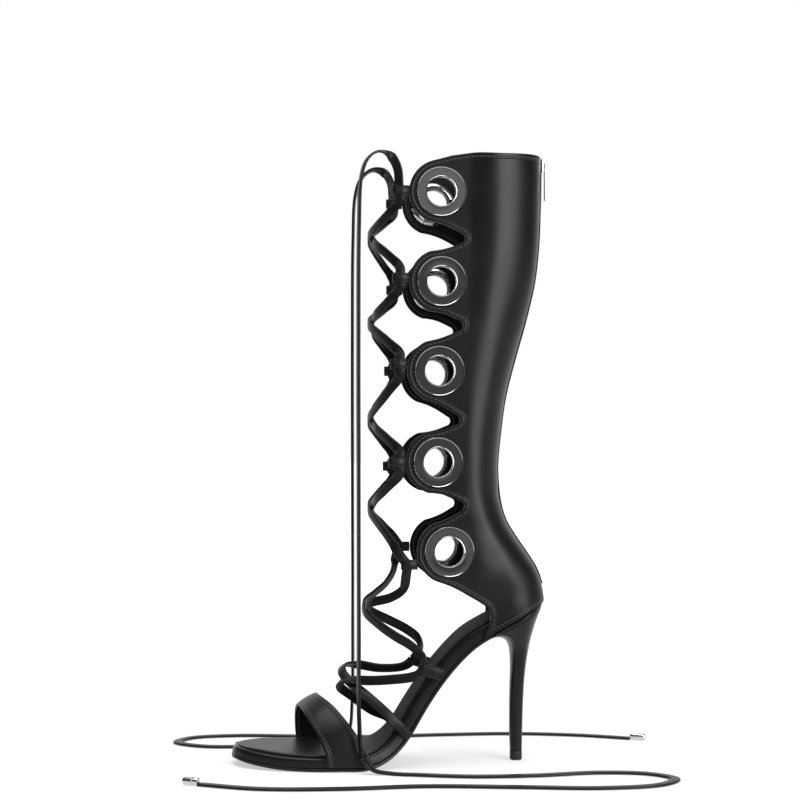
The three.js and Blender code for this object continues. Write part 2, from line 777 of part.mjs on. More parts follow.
function box(x0, x1, y0, y1, z0, z1) {
  const solid = new THREE.BoxGeometry(x1 - x0, y1 - y0, z1 - z0);
  return solid.translate((x0 + x1) / 2, (y0 + y1) / 2, (z0 + z1) / 2);
}

function makeZip() {
  const backLine = column(shaftTable, "z", "back");
  const rows = shaftTable.filter((row) => row.z > zip.bottom && row.z < zip.top).map((row) => row.z);
  const levels = [zip.bottom, ...rows, zip.top];
  const chain = levels.map((z) => {
    const rise = (backLine(z + 1) - backLine(z - 1)) / 2;
    const out = point(1, 0, -rise).normalize();
    const base = point(backLine(z), 0, z).addScaledVector(out, gap);
    const top = base.clone().addScaledVector(out, zip.thick);
    return [base, top].flatMap((p, k) => {
      const pair = [p.clone().addScaledVector(Y, -zip.half), p.clone().addScaledVector(Y, zip.half)];
      return k === 0 ? pair : pair.reverse();
    });
  });
  addPart("zip_chain", loft(chain), tape);

  const faceX = pullPivot.x - 1.6;
  const body = box(faceX - 1.6, faceX, -4.2, 4.2, zip.top + gap, 440);
  const arch = new THREE.Shape();
  arch.absarc(0, 0, 2.5, -Math.PI / 2, Math.PI / 2, false);
  arch.lineTo(-2.2, 2.5);
  arch.lineTo(-2.2, 1.2);
  arch.absarc(0, 0, 1.2, Math.PI / 2, -Math.PI / 2, true);
  arch.lineTo(-2.2, -1.2);
  arch.lineTo(-2.2, -2.5);
  const bridge = new THREE.ExtrudeGeometry(arch, { depth: 2, bevelEnabled: false, curveSegments: 8 });
  bridge.rotateX(Math.PI / 2).translate(pullPivot.x, 1, pullPivot.z);
  addPart("zip_slider", joined(body, bridge), nickel);

  const { length, half, thick, armFrom, armTo, eye, pin } = pull;
  const flat = thick / 2;
  const rod = new THREE.CylinderGeometry(pin, pin, 2 * armTo, 10);
  const arms = [-1, 1].map((side) =>
    box(-flat, flat, ...[side * armFrom, side * armTo].sort((a, b) => a - b), -eye - 0.5, 0.6),
  );
  const tab = box(-flat, flat, -half, half, -length, -eye);
  const mesh = addPart("zip_pull", joined(rod, ...arms, tab), nickel);
  mesh.position.copy(pullPivot);
}

makeSole();
makeHeel();
makeShaft();
makeGrommets();
makeLoops();
makeToeStrap();
makeLaces();
makeTies();
makeZip();

export default shoe;
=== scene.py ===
import math

import bmesh
import bpy
import numpy as np
from mathutils import Matrix, Vector


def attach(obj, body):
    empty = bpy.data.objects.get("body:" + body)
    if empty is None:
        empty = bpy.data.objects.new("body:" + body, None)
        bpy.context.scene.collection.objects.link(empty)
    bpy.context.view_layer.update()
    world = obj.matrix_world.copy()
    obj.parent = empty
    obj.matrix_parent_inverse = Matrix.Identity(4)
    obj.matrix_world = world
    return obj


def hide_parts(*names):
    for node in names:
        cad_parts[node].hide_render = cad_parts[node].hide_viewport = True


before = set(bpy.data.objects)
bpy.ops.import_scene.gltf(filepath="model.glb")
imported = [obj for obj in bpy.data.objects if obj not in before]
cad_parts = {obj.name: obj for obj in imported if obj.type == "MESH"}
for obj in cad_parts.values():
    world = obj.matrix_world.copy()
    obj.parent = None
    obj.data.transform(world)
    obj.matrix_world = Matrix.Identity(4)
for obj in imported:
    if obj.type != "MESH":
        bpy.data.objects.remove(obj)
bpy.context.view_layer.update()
scene = bpy.context.scene
scene.view_settings.view_transform = "Standard"
print("frame loaded,", len(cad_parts), "nodes")

# Millimetres in the pieces' tables; lengths turn into metres when a mesh is placed.
mm = 0.001

# Camera.
cameraFacts = {"place": (-171.9, -1246.96, 230), "turnRight": 4, "tiltUp": 1.472, "lens": 77.04}


def placeCamera(facts):
    data = bpy.data.cameras.new("camera")
    data.lens = facts["lens"]
    data.sensor_width = 36
    data.clip_start, data.clip_end = 0.05, 60
    camera = bpy.data.objects.new("camera", data)
    camera.location = Vector(facts["place"]) * mm
    camera.rotation_euler = (math.radians(90 + facts["tiltUp"]), 0, -math.radians(facts["turnRight"]))
    scene.collection.objects.link(camera)
    scene.camera = camera


placeCamera(cameraFacts)


# Curves and tables.
def mix(a, b, t):
    return a + (b - a) * t


def smooth(t):
    t = min(max(t, 0.0), 1.0)
    return t * t * (3 - 2 * t)


# A table's rows as dictionaries, under the names of its columns.
def table(names, rows):
    return [dict(zip(names.split(), row)) for row in rows]


def vectors(rows):
    return [Vector(row) for row in rows]


# A point of the even spline through some points, t from 0 to 1.
def splineAt(points, t):
    last = len(points) - 1
    i = min(int(t * last), last - 1)
    u = t * last - i
    p1, p2 = points[i], points[i + 1]
    p0 = points[i - 1] if i > 0 else p1 * 2 - p2
    p3 = points[i + 2] if i + 2 <= last else p2 * 2 - p1
    d0, d1, d2 = (math.sqrt(max((b - a).length, 1e-9)) for a, b in ((p0, p1), (p1, p2), (p2, p3)))
    m1 = ((p1 - p0) / d0 - (p2 - p0) / (d0 + d1) + (p2 - p1) / d1) * d1
    m2 = ((p2 - p1) / d1 - (p3 - p1) / (d1 + d2) + (p3 - p2) / d2) * d1
    u2, u3 = u * u, u * u * u
    return p1 * (2 * u3 - 3 * u2 + 1) + m1 * (u3 - 2 * u2 + u) + p2 * (3 * u2 - 2 * u3) + m2 * (u3 - u2)


# How far along a line each of its points is.
def runAlong(points):
    run = [0.0]
    for a, b in zip(points, points[1:]):
        run.append(run[-1] + math.dist(a, b))
    return run


# Points at even distances along the spline.
def evenly(points, count):
    pieces = 12 * len(points)
    fine = [splineAt(points, k / pieces) for k in range(pieces + 1)]
    run = runAlong(fine)
    spots = np.interp(np.linspace(0, run[-1], count + 1), run, np.linspace(0, 1, len(fine)))
    return [splineAt(points, float(t)) for t in spots]


# A column of a table as a smooth function of its first column.
def column(rows, key, name):
    at = [row[key] for row in rows]
    value = [row[name] for row in rows]
    slope = [(value[k + 1] - value[k]) / (at[k + 1] - at[k]) for k in range(len(at) - 1)]
    bend = [slope[0]] + [(a + b) / 2 for a, b in zip(slope, slope[1:])] + [slope[-1]]

    def read(x):
        k = min(max(int(np.searchsorted(at, x)) - 1, 0), len(at) - 2)
        wide = at[k + 1] - at[k]
        t = min(max((x - at[k]) / wide, 0.0), 1.0)
        t2, t3 = t * t, t * t * t
        start = value[k] * (2 * t3 - 3 * t2 + 1) + bend[k] * wide * (t3 - 2 * t2 + t)
        return start + value[k + 1] * (3 * t2 - 2 * t3) + bend[k + 1] * wide * (t3 - t2)

    return read


# Mesh helpers.
# A grid with its vertices put in place; a wrapped one is closed round and capped at its ends.
# edge(i, j, p) says how far a vertex is from the sewn edge, and how far along that edge.
def placedGrid(around, along, place, lay=None, wrapped=True, edge=None):
    bm = bmesh.new()
    bmesh.ops.create_grid(bm, x_segments=around, y_segments=along, size=0.5)
    layers = [bm.verts.layers.float.new(name) for name in ("edgeGap", "edgeRun")] if edge else []
    spot = {v: (round((v.co.x + 0.5) * around), round((v.co.y + 0.5) * along)) for v in bm.verts}
    if lay:
        laid = bm.loops.layers.uv.new("laid")
        for face in bm.faces:
            for loop in face.loops:
                loop[laid].uv = lay(*spot[loop.vert])
    for v, (i, j) in spot.items():
        p = Vector(place(i % around if wrapped else i, j))
        v.co = p * mm
        for layer, value in zip(layers, edge(i, j, p) if edge else ()):
            v[layer] = value * mm
    if wrapped:
        bmesh.ops.remove_doubles(bm, verts=bm.verts, dist=1e-7)
        rims = [edge for edge in bm.edges if edge.is_boundary]
        bmesh.ops.holes_fill(bm, edges=rims, sides=0)
        bmesh.ops.recalc_face_normals(bm, faces=bm.faces)
    return bm


# Adds one bmesh to another, moved by a matrix.
def joinInto(bm, other, matrix=None):
    if matrix is not None:
        bmesh.ops.transform(other, matrix=matrix, verts=other.verts)
    mesh = bpy.data.meshes.new("joining")
    other.to_mesh(mesh)
    other.free()
    bm.from_mesh(mesh)
    bpy.data.meshes.remove(mesh)


# Reads how far a flat point is from an outline, given as straight pieces, and how far along it.
def edgeReader(starts, ends):
    a, b = np.array(starts, float), np.array(ends, float)
    length = np.maximum(np.linalg.norm(b - a, axis=1), 1e-9)
    run = np.concatenate([[0], np.cumsum(length)[:-1]])

    def read(point):
        p = np.array(point, float)
        t = np.clip(((p - a) * (b - a)).sum(1) / length ** 2, 0, 1)
        far = np.linalg.norm(a + (b - a) * t[:, None] - p, axis=1)
        k = int(far.argmin())
        return float(far[k]), float(run[k] + t[k] * length[k])

    return read


# Gives a skin its wall, inwards, and eases the cut edges.
def giveWall(piece, wall, ease=0.6):
    thick = piece.modifiers.new("wall", "SOLIDIFY")
    thick.thickness, thick.offset = wall * mm, -1
    edge = piece.modifiers.new("edge", "BEVEL")
    edge.width, edge.segments, edge.limit_method = ease * mm, 3, "ANGLE"
    edge.angle_limit = math.radians(60)


def makePiece(name, bm, material, replaces=(), body="shoe", sharp=50):
    mesh = bpy.data.meshes.new(name)
    bm.to_mesh(mesh)
    bm.free()
    mesh.shade_smooth()
    mesh.set_sharp_from_angle(angle=math.radians(sharp))
    piece = bpy.data.objects.new(name, mesh)
    scene.collection.objects.link(piece)
    for finish in material if isinstance(material, list) else [material]:
        mesh.materials.append(finish)
    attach(piece, body)
    if replaces:
        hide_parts(*replaces)
    return piece


# A section carried along a path; facing(p, share) is where its outer side looks.
def sweep(path, facing, section):
    steps = len(path) - 1
    run = runAlong(path)
    frames = []
    for k, p in enumerate(path):
        ahead = (path[min(k + 1, steps)] - path[max(k - 1, 0)]).normalized()
        out = facing(p, k / steps)
        out = (out - ahead * out.dot(ahead)).normalized()
        frames.append((p, ahead.cross(out), out))

    def place(i, j):
        p, across, out = frames[j]
        u, v = section[i % len(section)]
        return p + across * u + out * v

    return placedGrid(len(section), steps, place, lambda i, j: (run[j] * mm, i / len(section)))


# Materials.
def newMaterial(name, **sockets):
    material = bpy.data.materials.new(name)
    material.use_nodes = True
    shader = material.node_tree.nodes["Principled BSDF"]
    for socket, value in sockets.items():
        shader.inputs[socket.replace("_", " ")].default_value = value
    return material, material.node_tree, shader


def addNode(tree, kind, **settings):
    node = tree.nodes.new(kind)
    for key, value in settings.items():
        if key in node.inputs:
            node.inputs[key].default_value = value
        else:
            setattr(node, key, value)
    return node


def calc(tree, operation, a, b=None):
    node = tree.nodes.new("ShaderNodeMath")
    node.operation = operation
    for k, value in enumerate((a, b)):
        if value is None:
            continue
        if isinstance(value, (int, float)):
            node.inputs[k].default_value = value
        else:
            tree.links.new(value, node.inputs[k])
    return node.outputs[0]


def times(tree, a, b):
    return calc(tree, "MULTIPLY", a, b)


def plus(tree, a, b):
    return calc(tree, "ADD", a, b)


def remap(tree, value, fromLow, fromHigh, toLow, toHigh, soft=False):
    node = tree.nodes.new("ShaderNodeMapRange")
    if soft:
        node.interpolation_type = "SMOOTHSTEP"
    tree.links.new(value, node.inputs["Value"])
    for key, number in (("From Min", fromLow), ("From Max", fromHigh), ("To Min", toLow), ("To Max", toHigh)):
        node.inputs[key].default_value = number
    return node.outputs["Result"]


def noise(tree, where, scale, detail=3.0, roughness=0.5):
    node = addNode(tree, "ShaderNodeTexNoise", Scale=scale, Detail=detail, Roughness=roughness)
    tree.links.new(where, node.inputs["Vector"])
    return node.outputs["Fac"]


# Joins a finish's colour, its shade, its gloss and its relief to the shader.
def joinFinish(tree, shader, colour, shade, gloss, height):
    links = tree.links
    tint = addNode(tree, "ShaderNodeMix", data_type="RGBA", blend_type="MULTIPLY")
    factor, plain, shaded = (tint.inputs[k] for k in (0, 6, 7))
    factor.default_value = 1
    plain.default_value = (*colour, 1)
    links.new(shade, shaded)
    links.new(tint.outputs[2], shader.inputs["Base Color"])
    links.new(gloss, shader.inputs["Roughness"])
    bump = addNode(tree, "ShaderNodeBump", Distance=1.0, Strength=1.0)
    links.new(height, bump.inputs["Height"])
    links.new(bump.outputs["Normal"], shader.inputs["Normal"])


# How far a length is from the middle of its stitch, in parts of the pitch.
def beatOf(tree, length, pitch):
    share = calc(tree, "FRACT", calc(tree, "DIVIDE", length, pitch))
    return calc(tree, "ABSOLUTE", calc(tree, "SUBTRACT", share, 0.5))


# Smooth calf leather: fine pores, a slow waviness, and where asked a sewn edge read from the mesh.
def leather(name, colour, roughness, pores=0.00002, waves=0.00012, sewn=None, grooves=None, dull=None):
    material, tree, shader = newMaterial(name, IOR=1.45, Specular_IOR_Level=0.26)
    links = tree.links
    where = addNode(tree, "ShaderNodeTexCoord").outputs["Object"]
    cloud = noise(tree, where, 26, 4)
    fine = noise(tree, where, 1500, 2)
    cells = addNode(tree, "ShaderNodeTexVoronoi", Scale=1100.0, feature="DISTANCE_TO_EDGE")
    links.new(where, cells.inputs["Vector"])
    creases = remap(tree, cells.outputs["Distance"], 0, 0.12, 0, 1)
    height = times(tree, plus(tree, times(tree, creases, 0.6), fine), pores)
    height = plus(tree, height, times(tree, noise(tree, where, 38, 1), waves))
    shade = remap(tree, cloud, 0.3, 0.7, 0.8, 1.25)
    gloss = remap(tree, cloud, 0.25, 0.75, roughness - 0.03, roughness + 0.05)
    if dull:
        spot = tree.nodes.new("ShaderNodeSeparateXYZ")
        links.new(where, spot.inputs[0])
        worn = remap(tree, spot.outputs["X"], dull["from"], dull["to"], 0, 1, True)
        gloss = plus(tree, gloss, times(tree, worn, dull["rough"]))
    if sewn:
        gap = addNode(tree, "ShaderNodeAttribute", attribute_name="edgeGap").outputs["Fac"]
        run = addNode(tree, "ShaderNodeAttribute", attribute_name="edgeRun").outputs["Fac"]
        fold = remap(tree, gap, sewn["fold"] - 0.0004, sewn["fold"] + 0.0003, sewn["rise"], 0, True)
        away = calc(tree, "ABSOLUTE", calc(tree, "SUBTRACT", gap, sewn["line"]))
        trough = remap(tree, away, 0, sewn["groove"], -sewn["sink"], 0, True)
        along = remap(tree, beatOf(tree, run, sewn["pitch"]), 0.3, 0.42, 1, 0, True)
        across = remap(tree, away, sewn["thread"] * 0.55, sewn["thread"], 1, 0, True)
        thread = times(tree, along, across)
        height = plus(tree, height, plus(tree, fold, trough))
        height = plus(tree, height, times(tree, thread, sewn["sink"] * 1.3))
        # the thread is painted lighter: partly its own grey tone, partly a painted sheen
        shade = plus(tree, shade, times(tree, thread, sewn["threadToneAndSheen"]))
    if grooves:
        lengthwise = addNode(tree, "ShaderNodeUVMap", uv_map="laid").outputs["UV"]
        parts = tree.nodes.new("ShaderNodeSeparateXYZ")
        links.new(lengthwise, parts.inputs[0])
        between = remap(tree, beatOf(tree, parts.outputs[0], grooves["pitch"]), 0.32, 0.46, 0, 1, True)
        height = plus(tree, height, times(tree, between, -grooves["sink"]))
    joinFinish(tree, shader, colour, shade, gloss, height)
    return material


# Polished metal with faint smudges.
def metal(name, colour, roughness, scratch=0.06):
    material, tree, shader = newMaterial(name, Metallic=1.0)
    where = addNode(tree, "ShaderNodeTexCoord").outputs["Object"]
    smudge = noise(tree, where, 90, 4)
    gloss = remap(tree, smudge, 0.35, 0.7, roughness, roughness + scratch)
    shade = remap(tree, smudge, 0.3, 0.7, 0.94, 1.04)
    brushing = times(tree, noise(tree, where, 2400, 2), 0.000002)
    joinFinish(tree, shader, colour, shade, gloss, brushing)
    return material


# Metres: the folded edge and its rise, the stitch line and its groove, the thread and its pitch. The thread's colour
# is lifted by a factor: partly its grey tone, partly a painted sheen.
edgeSewing = {
    "fold": 0.0042, "rise": 0.0003, "line": 0.0027, "groove": 0.0007, "sink": 0.00026,
    "thread": 0.0005, "pitch": 0.0032, "threadToneAndSheen": 7,
}
insoleSewing = {**edgeSewing, "line": 0.0034, "rise": 0.0001}
insoleWear = {"from": -0.13, "to": -0.085, "rough": 0.42}
laceGrooves = {"pitch": 0.0024, "sink": 0.00003}
upperLeather = leather("upperLeather", (0.0036, 0.0036, 0.004), 0.34, sewn=edgeSewing)
laceLeather = leather("laceLeather", (0.0045, 0.0045, 0.005), 0.34, waves=0.0001, grooves=laceGrooves)
tabLeather = leather("tabLeather", (0.0042, 0.0042, 0.0046), 0.36)
soleLeather = leather("soleLeather", (0.0038, 0.0038, 0.0042), 0.3, waves=0.00008)
insoleLeather = leather(
    "insoleLeather", (0.009, 0.009, 0.0098), 0.38, waves=0.00006, sewn=insoleSewing, dull=insoleWear,
)
outsoleSkin = leather("outsoleSkin", (0.008, 0.008, 0.0085), 0.3, pores=0.00001)
heelCover = leather("heelCover", (0.0042, 0.0042, 0.0046), 0.28, waves=0.00004)
# The heel breast's leather is painted lighter: a painted reflection strip down the heel's front.
heelBreastPaintedSheen = leather("heelBreastPaintedSheen", (0.03, 0.03, 0.032), 0.22, pores=0.00001, waves=0.00003)
heelRubber = leather("heelRubber", (0.008, 0.008, 0.008), 0.5, pores=0.00004)
ringChrome = metal("ringChrome", (0.62, 0.62, 0.65), 0.06, 0.03)
# Dark metal for the near rings' barrels: painted shade inside the holes.
ringBarrelPaintedShade = metal("ringBarrelPaintedShade", (0.1, 0.1, 0.105), 0.25, 0.05)
nickel = metal("nickel", (0.66, 0.66, 0.67), 0.2)
zipTape = leather("zipTape", (0.005, 0.005, 0.0055), 0.7, pores=0.00005)
zipTeeth = metal("zipTeeth", (0.05, 0.05, 0.055), 0.35)
print("materials made")

# Ties: untied, hanging from the top keepers and lying on the floor.
laceSection = [
    (-3.5, 0), (-3.42, 0.45), (-3.1, 0.8), (-2.75, 0.9), (-2.4, 0.74), (-2.05, 0.9), (-1.1, 0.97), (0, 1),
    (1.1, 0.97), (2.05, 0.9), (2.4, 0.74), (2.75, 0.9), (3.1, 0.8), (3.42, 0.45), (3.5, 0),
    (3.42, -0.45), (3.05, -0.85), (1.4, -0.92), (0, -0.78), (-1.4, -0.92), (-3.05, -0.85), (-3.42, -0.45),
]
# Both ties hang alike in front, on their own sides, then each lies its own way on the floor.
tieHanging = [
    (-87.6, 35, 410.6), (-88, 36, 416), (-89, 36.6, 426), (-94, 38.6, 434.5), (-103, 42, 437), (-111, 45.4, 431),
    (-115.4, 47.4, 418), (-117, 48.2, 385), (-117.4, 48.6, 300), (-117.2, 48.8, 200), (-117, 48.8, 100),
]
tieLying = {
    "lateral": [
        (-116.6, -48.8, 36), (-114.6, -49, 14), (-108, -50, 3.6), (-96, -53, 1.15), (-74, -60, 1.1),
        (-38, -68, 1.1), (6, -67, 1.1), (50, -60, 1.1), (84, -67, 1.1), (98, -86, 1.1),
        (82, -106, 1.1), (42, -113, 1.1), (-14, -106, 1.1), (-74, -99, 1.1), (-132, -104, 1.1),
        (-186, -100, 1.1), (-226, -82, 1.1),
    ],
    "medial": [
        (-117.4, 48.8, 36), (-119.6, 49, 14), (-126, 50, 3.6), (-138, 53, 1.15), (-160, 58, 1.1),
        (-196, 60, 1.1), (-230, 64, 1.1), (-250, 82, 1.1), (-240, 102, 1.1), (-206, 110, 1.1),
        (-156, 104, 1.1), (-100, 98, 1.1), (-44, 103, 1.1), (12, 104, 1.1), (62, 93, 1.1), (100, 76, 1.1),
    ],
}
tieFacts = {"width": 7, "agletRadius": 2.8, "steps": 460}


# Where a tie's outer side looks: beside the keeper, over the top, hanging in front, and lying.
def tieFacing(side):
    def facing(p, share):
        lying = 1 - smooth((p.z - 2) / 26)
        front = smooth((-95 - p.x) / 14)
        turned = smooth((p.z - 412) / 20) * smooth((-90 - p.x) / 8)
        hanging = Vector((-0.6, side, 0)).normalized() * (1 - front)
        hanging += Vector((-1, side * 0.2, 0)) * front + Vector((0, 0, 1)) * turned
        return hanging * (1 - lying) + Vector((0, 0, 1)) * lying

    return facing


# The crimped metal tip of a tie, turned round its own line.
def makeAglet(name, node, start, along):
    profile = [(0, 0), (1.5, 0), (2.5, 0.25), (2.75, 0.8), (2.75, 3), (2.3, 3.3), (2.3, 3.9), (2.75, 4.2),
               (2.75, 9.8), (2.5, 11), (1.7, 11.8), (0, 12)]
    turns = 28

    def place(i, j):
        radius, height = profile[j]
        angle = 2 * math.pi * i / turns
        return (radius * math.cos(angle), radius * math.sin(angle), height)

    bm = placedGrid(turns, len(profile) - 1, place)
    turn = along.to_track_quat("Z", "Y").to_matrix().to_4x4()
    bmesh.ops.transform(bm, matrix=Matrix.Translation(start * mm) @ turn, verts=bm.verts)
    return makePiece(name, bm, nickel, [node], sharp=35)


def makeTies(facts):
    for side, name in ((-1, "lateral"), (1, "medial")):
        route = vectors([(x, side * y, z) for x, y, z in tieHanging] + tieLying[name])
        path = evenly(route, facts["steps"])
        bm = sweep(path, tieFacing(side), laceSection)
        tie = makePiece(f"tie_{name}_look", bm, laceLeather, [f"tie_{name}"], sharp=60)
        along = route[-1] - route[-2]
        along.z = 0
        along.normalize()
        start = route[-1] + along * 0.3
        start.z = facts["agletRadius"] + 0.05
        aglet = makeAglet(f"aglet_{name}_look", f"aglet_{name}", start, along)


makeTies(tieFacts)


# Stage and light.
# Lengths in metres; a pair is where a glow starts and where it has faded in.
stageFacts = {"floorSize": 40, "nearGlow": 0.5, "nearReach": (0.5, 1.5), "floorColour": 0.34, "tent": 6, "air": 1.0}
cardFacts = {"near": 0.05, "lit": 0.95, "edge": (-0.75, -0.28), "far": 0.09, "farEdge": (-2.5, -1.7)}
# The tent's pairs are shares of its radius.
roomFacts = {
    "back": 0.98, "backFrom": (0.3, 0.8), "front": 0.05, "frontHigh": 0.17, "frontRise": (0.15, 0.21),
    "frontTo": (-0.9, -0.6), "side": 0.02, "above": 0.28, "aboveFrom": (0.5, 0.9),
}
lightFacts = [
    {"name": "softboxRight", "place": (1.06, -1.24, 0.62), "aim": (0, 0, 0.3), "size": (1.25, 1.5), "watts": 44},
    {"name": "softboxTop", "place": (-0.35, -0.25, 2.2), "aim": (-0.1, 0, 0), "size": (1.8, 1.4), "watts": 34},
]


# A stage piece; the black cards and the tent of a studio are only there for the gloss.
def stagePiece(name, bm, low, glow, colour=0.0, gloss=False):
    mesh = bpy.data.meshes.new(name)
    bm.to_mesh(mesh)
    bm.free()
    piece = bpy.data.objects.new(name, mesh)
    piece.location.z = low
    scene.collection.objects.link(piece)
    material, tree, shader = newMaterial(name, Roughness=0.9, Specular_IOR_Level=0.0)
    shader.inputs["Base Color"].default_value = (colour, colour, colour, 1)
    shader.inputs["Emission Color"].default_value = (1, 1, 1, 1)
    parts = tree.nodes.new("ShaderNodeSeparateXYZ")
    tree.links.new(addNode(tree, "ShaderNodeTexCoord").outputs["Object"], parts.inputs[0])
    tree.links.new(glow(tree, *parts.outputs), shader.inputs["Emission Strength"])
    material.cycles.emission_sampling = "NONE"
    mesh.materials.append(material)
    piece.visible_camera = piece.visible_diffuse = not gloss
    piece.visible_glossy = gloss
    piece.visible_shadow = piece.visible_transmission = not gloss


def makeStage(facts, card, room):
    def floorGlow(tree, x, y, z):
        far = calc(tree, "SQRT", plus(tree, times(tree, x, x), times(tree, y, y)))
        return remap(tree, far, *facts["nearReach"], facts["nearGlow"], 1.0, True)

    def cardGlow(tree, x, y, z):
        near = remap(tree, y, *card["edge"], card["near"], card["lit"], True)
        return plus(tree, near, remap(tree, y, *card["farEdge"], card["far"], 0, True))

    def tentGlow(tree, x, y, z):
        y, z = calc(tree, "DIVIDE", y, facts["tent"]), calc(tree, "DIVIDE", z, facts["tent"])
        ahead = remap(tree, z, *room["frontRise"], room["front"], room["frontHigh"], True)
        front = times(tree, ahead, remap(tree, y, *room["frontTo"], 1, 0, True))
        back = remap(tree, y, *room["backFrom"], 0, room["back"], True)
        above = remap(tree, z, *room["aboveFrom"], room["side"], room["above"], True)
        return plus(tree, plus(tree, back, front), above)

    floor = bmesh.new()
    bmesh.ops.create_grid(floor, x_segments=2, y_segments=2, size=facts["floorSize"] / 2)
    floorCard = floor.copy()
    stagePiece("floor", floor, -0.0002, floorGlow, colour=facts["floorColour"])
    stagePiece("floorCard", floorCard, -0.0001, cardGlow, gloss=True)
    tent = bmesh.new()
    bmesh.ops.create_uvsphere(tent, u_segments=48, v_segments=24, radius=facts["tent"])
    stagePiece("tent", tent, 0, tentGlow, gloss=True)


def makeWorld(facts):
    world = bpy.data.worlds.new("studio")
    world.use_nodes = True
    world.node_tree.nodes["Background"].inputs["Color"].default_value = (1, 1, 1, 1)
    world.node_tree.nodes["Background"].inputs["Strength"].default_value = facts["air"]
    scene.world = world
    world.cycles_visibility.glossy = False  # the gloss sees the tent instead


def makeLights(rows):
    for row in rows:
        data = bpy.data.lights.new(row["name"], "AREA")
        data.shape = "RECTANGLE"
        data.size, data.size_y = row["size"]
        data.energy = row["watts"]
        lamp = bpy.data.objects.new(row["name"], data)
        lamp.location = row["place"]
        lamp.rotation_euler = (Vector(row["aim"]) - lamp.location).to_track_quat("-Z", "Y").to_euler()
        scene.collection.objects.link(lamp)


makeStage(stageFacts, cardFacts, roomFacts)
makeWorld(stageFacts)
makeLights(lightFacts)
print("stage and lights made")

# Sole: outsole, board and insole, cut flat and bent over the last's bottom.
soleRows = table("x under outer inner thick", [
    (-206.6, 5.8, -1.6, 2.6, -1.2), (-206, 5.6, 6, 7.2, -1.2), (-203, 5.2, 13.5, 14, -0.9),
    (-197, 4.2, 21.5, 20.5, -0.5), (-187, 2.6, 28.5, 28.5, -0.15), (-172, 0.9, 35, 37.6, 0), (-150, 0, 40, 42.5, 0),
    (-128, 0, 41, 41, 0), (-112, 0, 39.5, 37, 0.1), (-100, 3.4, 36.5, 32.5, 0.4), (-90, 9.8, 33.5, 28.5, 0.8),
    (-80, 20.8, 30.5, 25, 1), (-68, 40.2, 28, 22.5, 1), (-56, 57.8, 26.5, 22, 1), (-44, 72.2, 26, 23, 1),
    (-32, 83.6, 26.3, 25, 1), (-19, 91.8, 27, 26.6, 0.8), (-5, 98.9, 26.4, 26.4, 0.6), (8, 106.7, 21, 21, 0.5),
    (14, 110.3, 13.5, 13.5, 0.5), (17, 112.2, 5.5, 5.5, 0.5),
])
soleFacts = {
    "outsole": 2.5, "gap": 0.3, "boardFront": 6.8, "boardArch": 8.2, "insole": 1.6, "insoleTip": 0.3,
    "insoleInset": 3.4, "toeY": 4, "rows": 200, "finePoints": 900,
}
under = column(soleRows, "x", "under")
thickAt = column(soleRows, "x", "thick")


# A point that stands square on the sole's underside.
def onSole(x, y, height):
    rise = under(x + 0.5) - under(x - 0.5)
    return Vector((x, y, under(x))) + Vector((-rise, 0, 1)).normalized() * height


def boardTop(x):
    return soleFacts["outsole"] + soleFacts["gap"] + mix(soleFacts["boardFront"], soleFacts["boardArch"], thickAt(x))


# The insole thins out towards the tip of the toe.
def insoleTop(x):
    full = mix(soleFacts["insoleTip"], 1, smooth((x + 205) / 22))
    return boardTop(x) + soleFacts["gap"] + soleFacts["insole"] * full


# The layer's edge, side by side from the toe to the heel, moved inwards by an inset.
def soleEdges(inset, last):
    rows, count = soleFacts["rows"], soleFacts["finePoints"]
    edges = []
    for side in ("outer", "inner"):
        way = -1 if side == "outer" else 1
        line = vectors([(row["x"], way * row[side], 0) for row in soleRows if row["x"] <= last + 0.01])
        line = [Vector((line[0].x, soleFacts["toeY"], 0))] + line[1:]
        fine = [splineAt(line, (k / count) ** 1.6) for k in range(count + 1)]
        moved = []
        for k, p in enumerate(fine):
            ahead = (fine[min(k + 1, count)] - fine[max(k - 1, 0)]).normalized()
            inward = Vector((-ahead.y, ahead.x, 0)) * (-way) if k else Vector((1, 0, 0))
            moved.append(p + inward * inset)
        edges.append(moved)
    start = (edges[0][0].x + edges[1][0].x) / 2
    end = min(edges[0][-1].x, edges[1][-1].x)
    found = []
    for j in range(rows + 1):
        x = mix(start, end, 1 - math.cos(math.pi / 2 * j / rows) if j < rows else 1)
        found.append([x] + [float(np.interp(x, [p.x for p in line], [p.y for p in line])) for line in edges])
    found[0][1] = found[0][2] = soleFacts["toeY"]
    return found


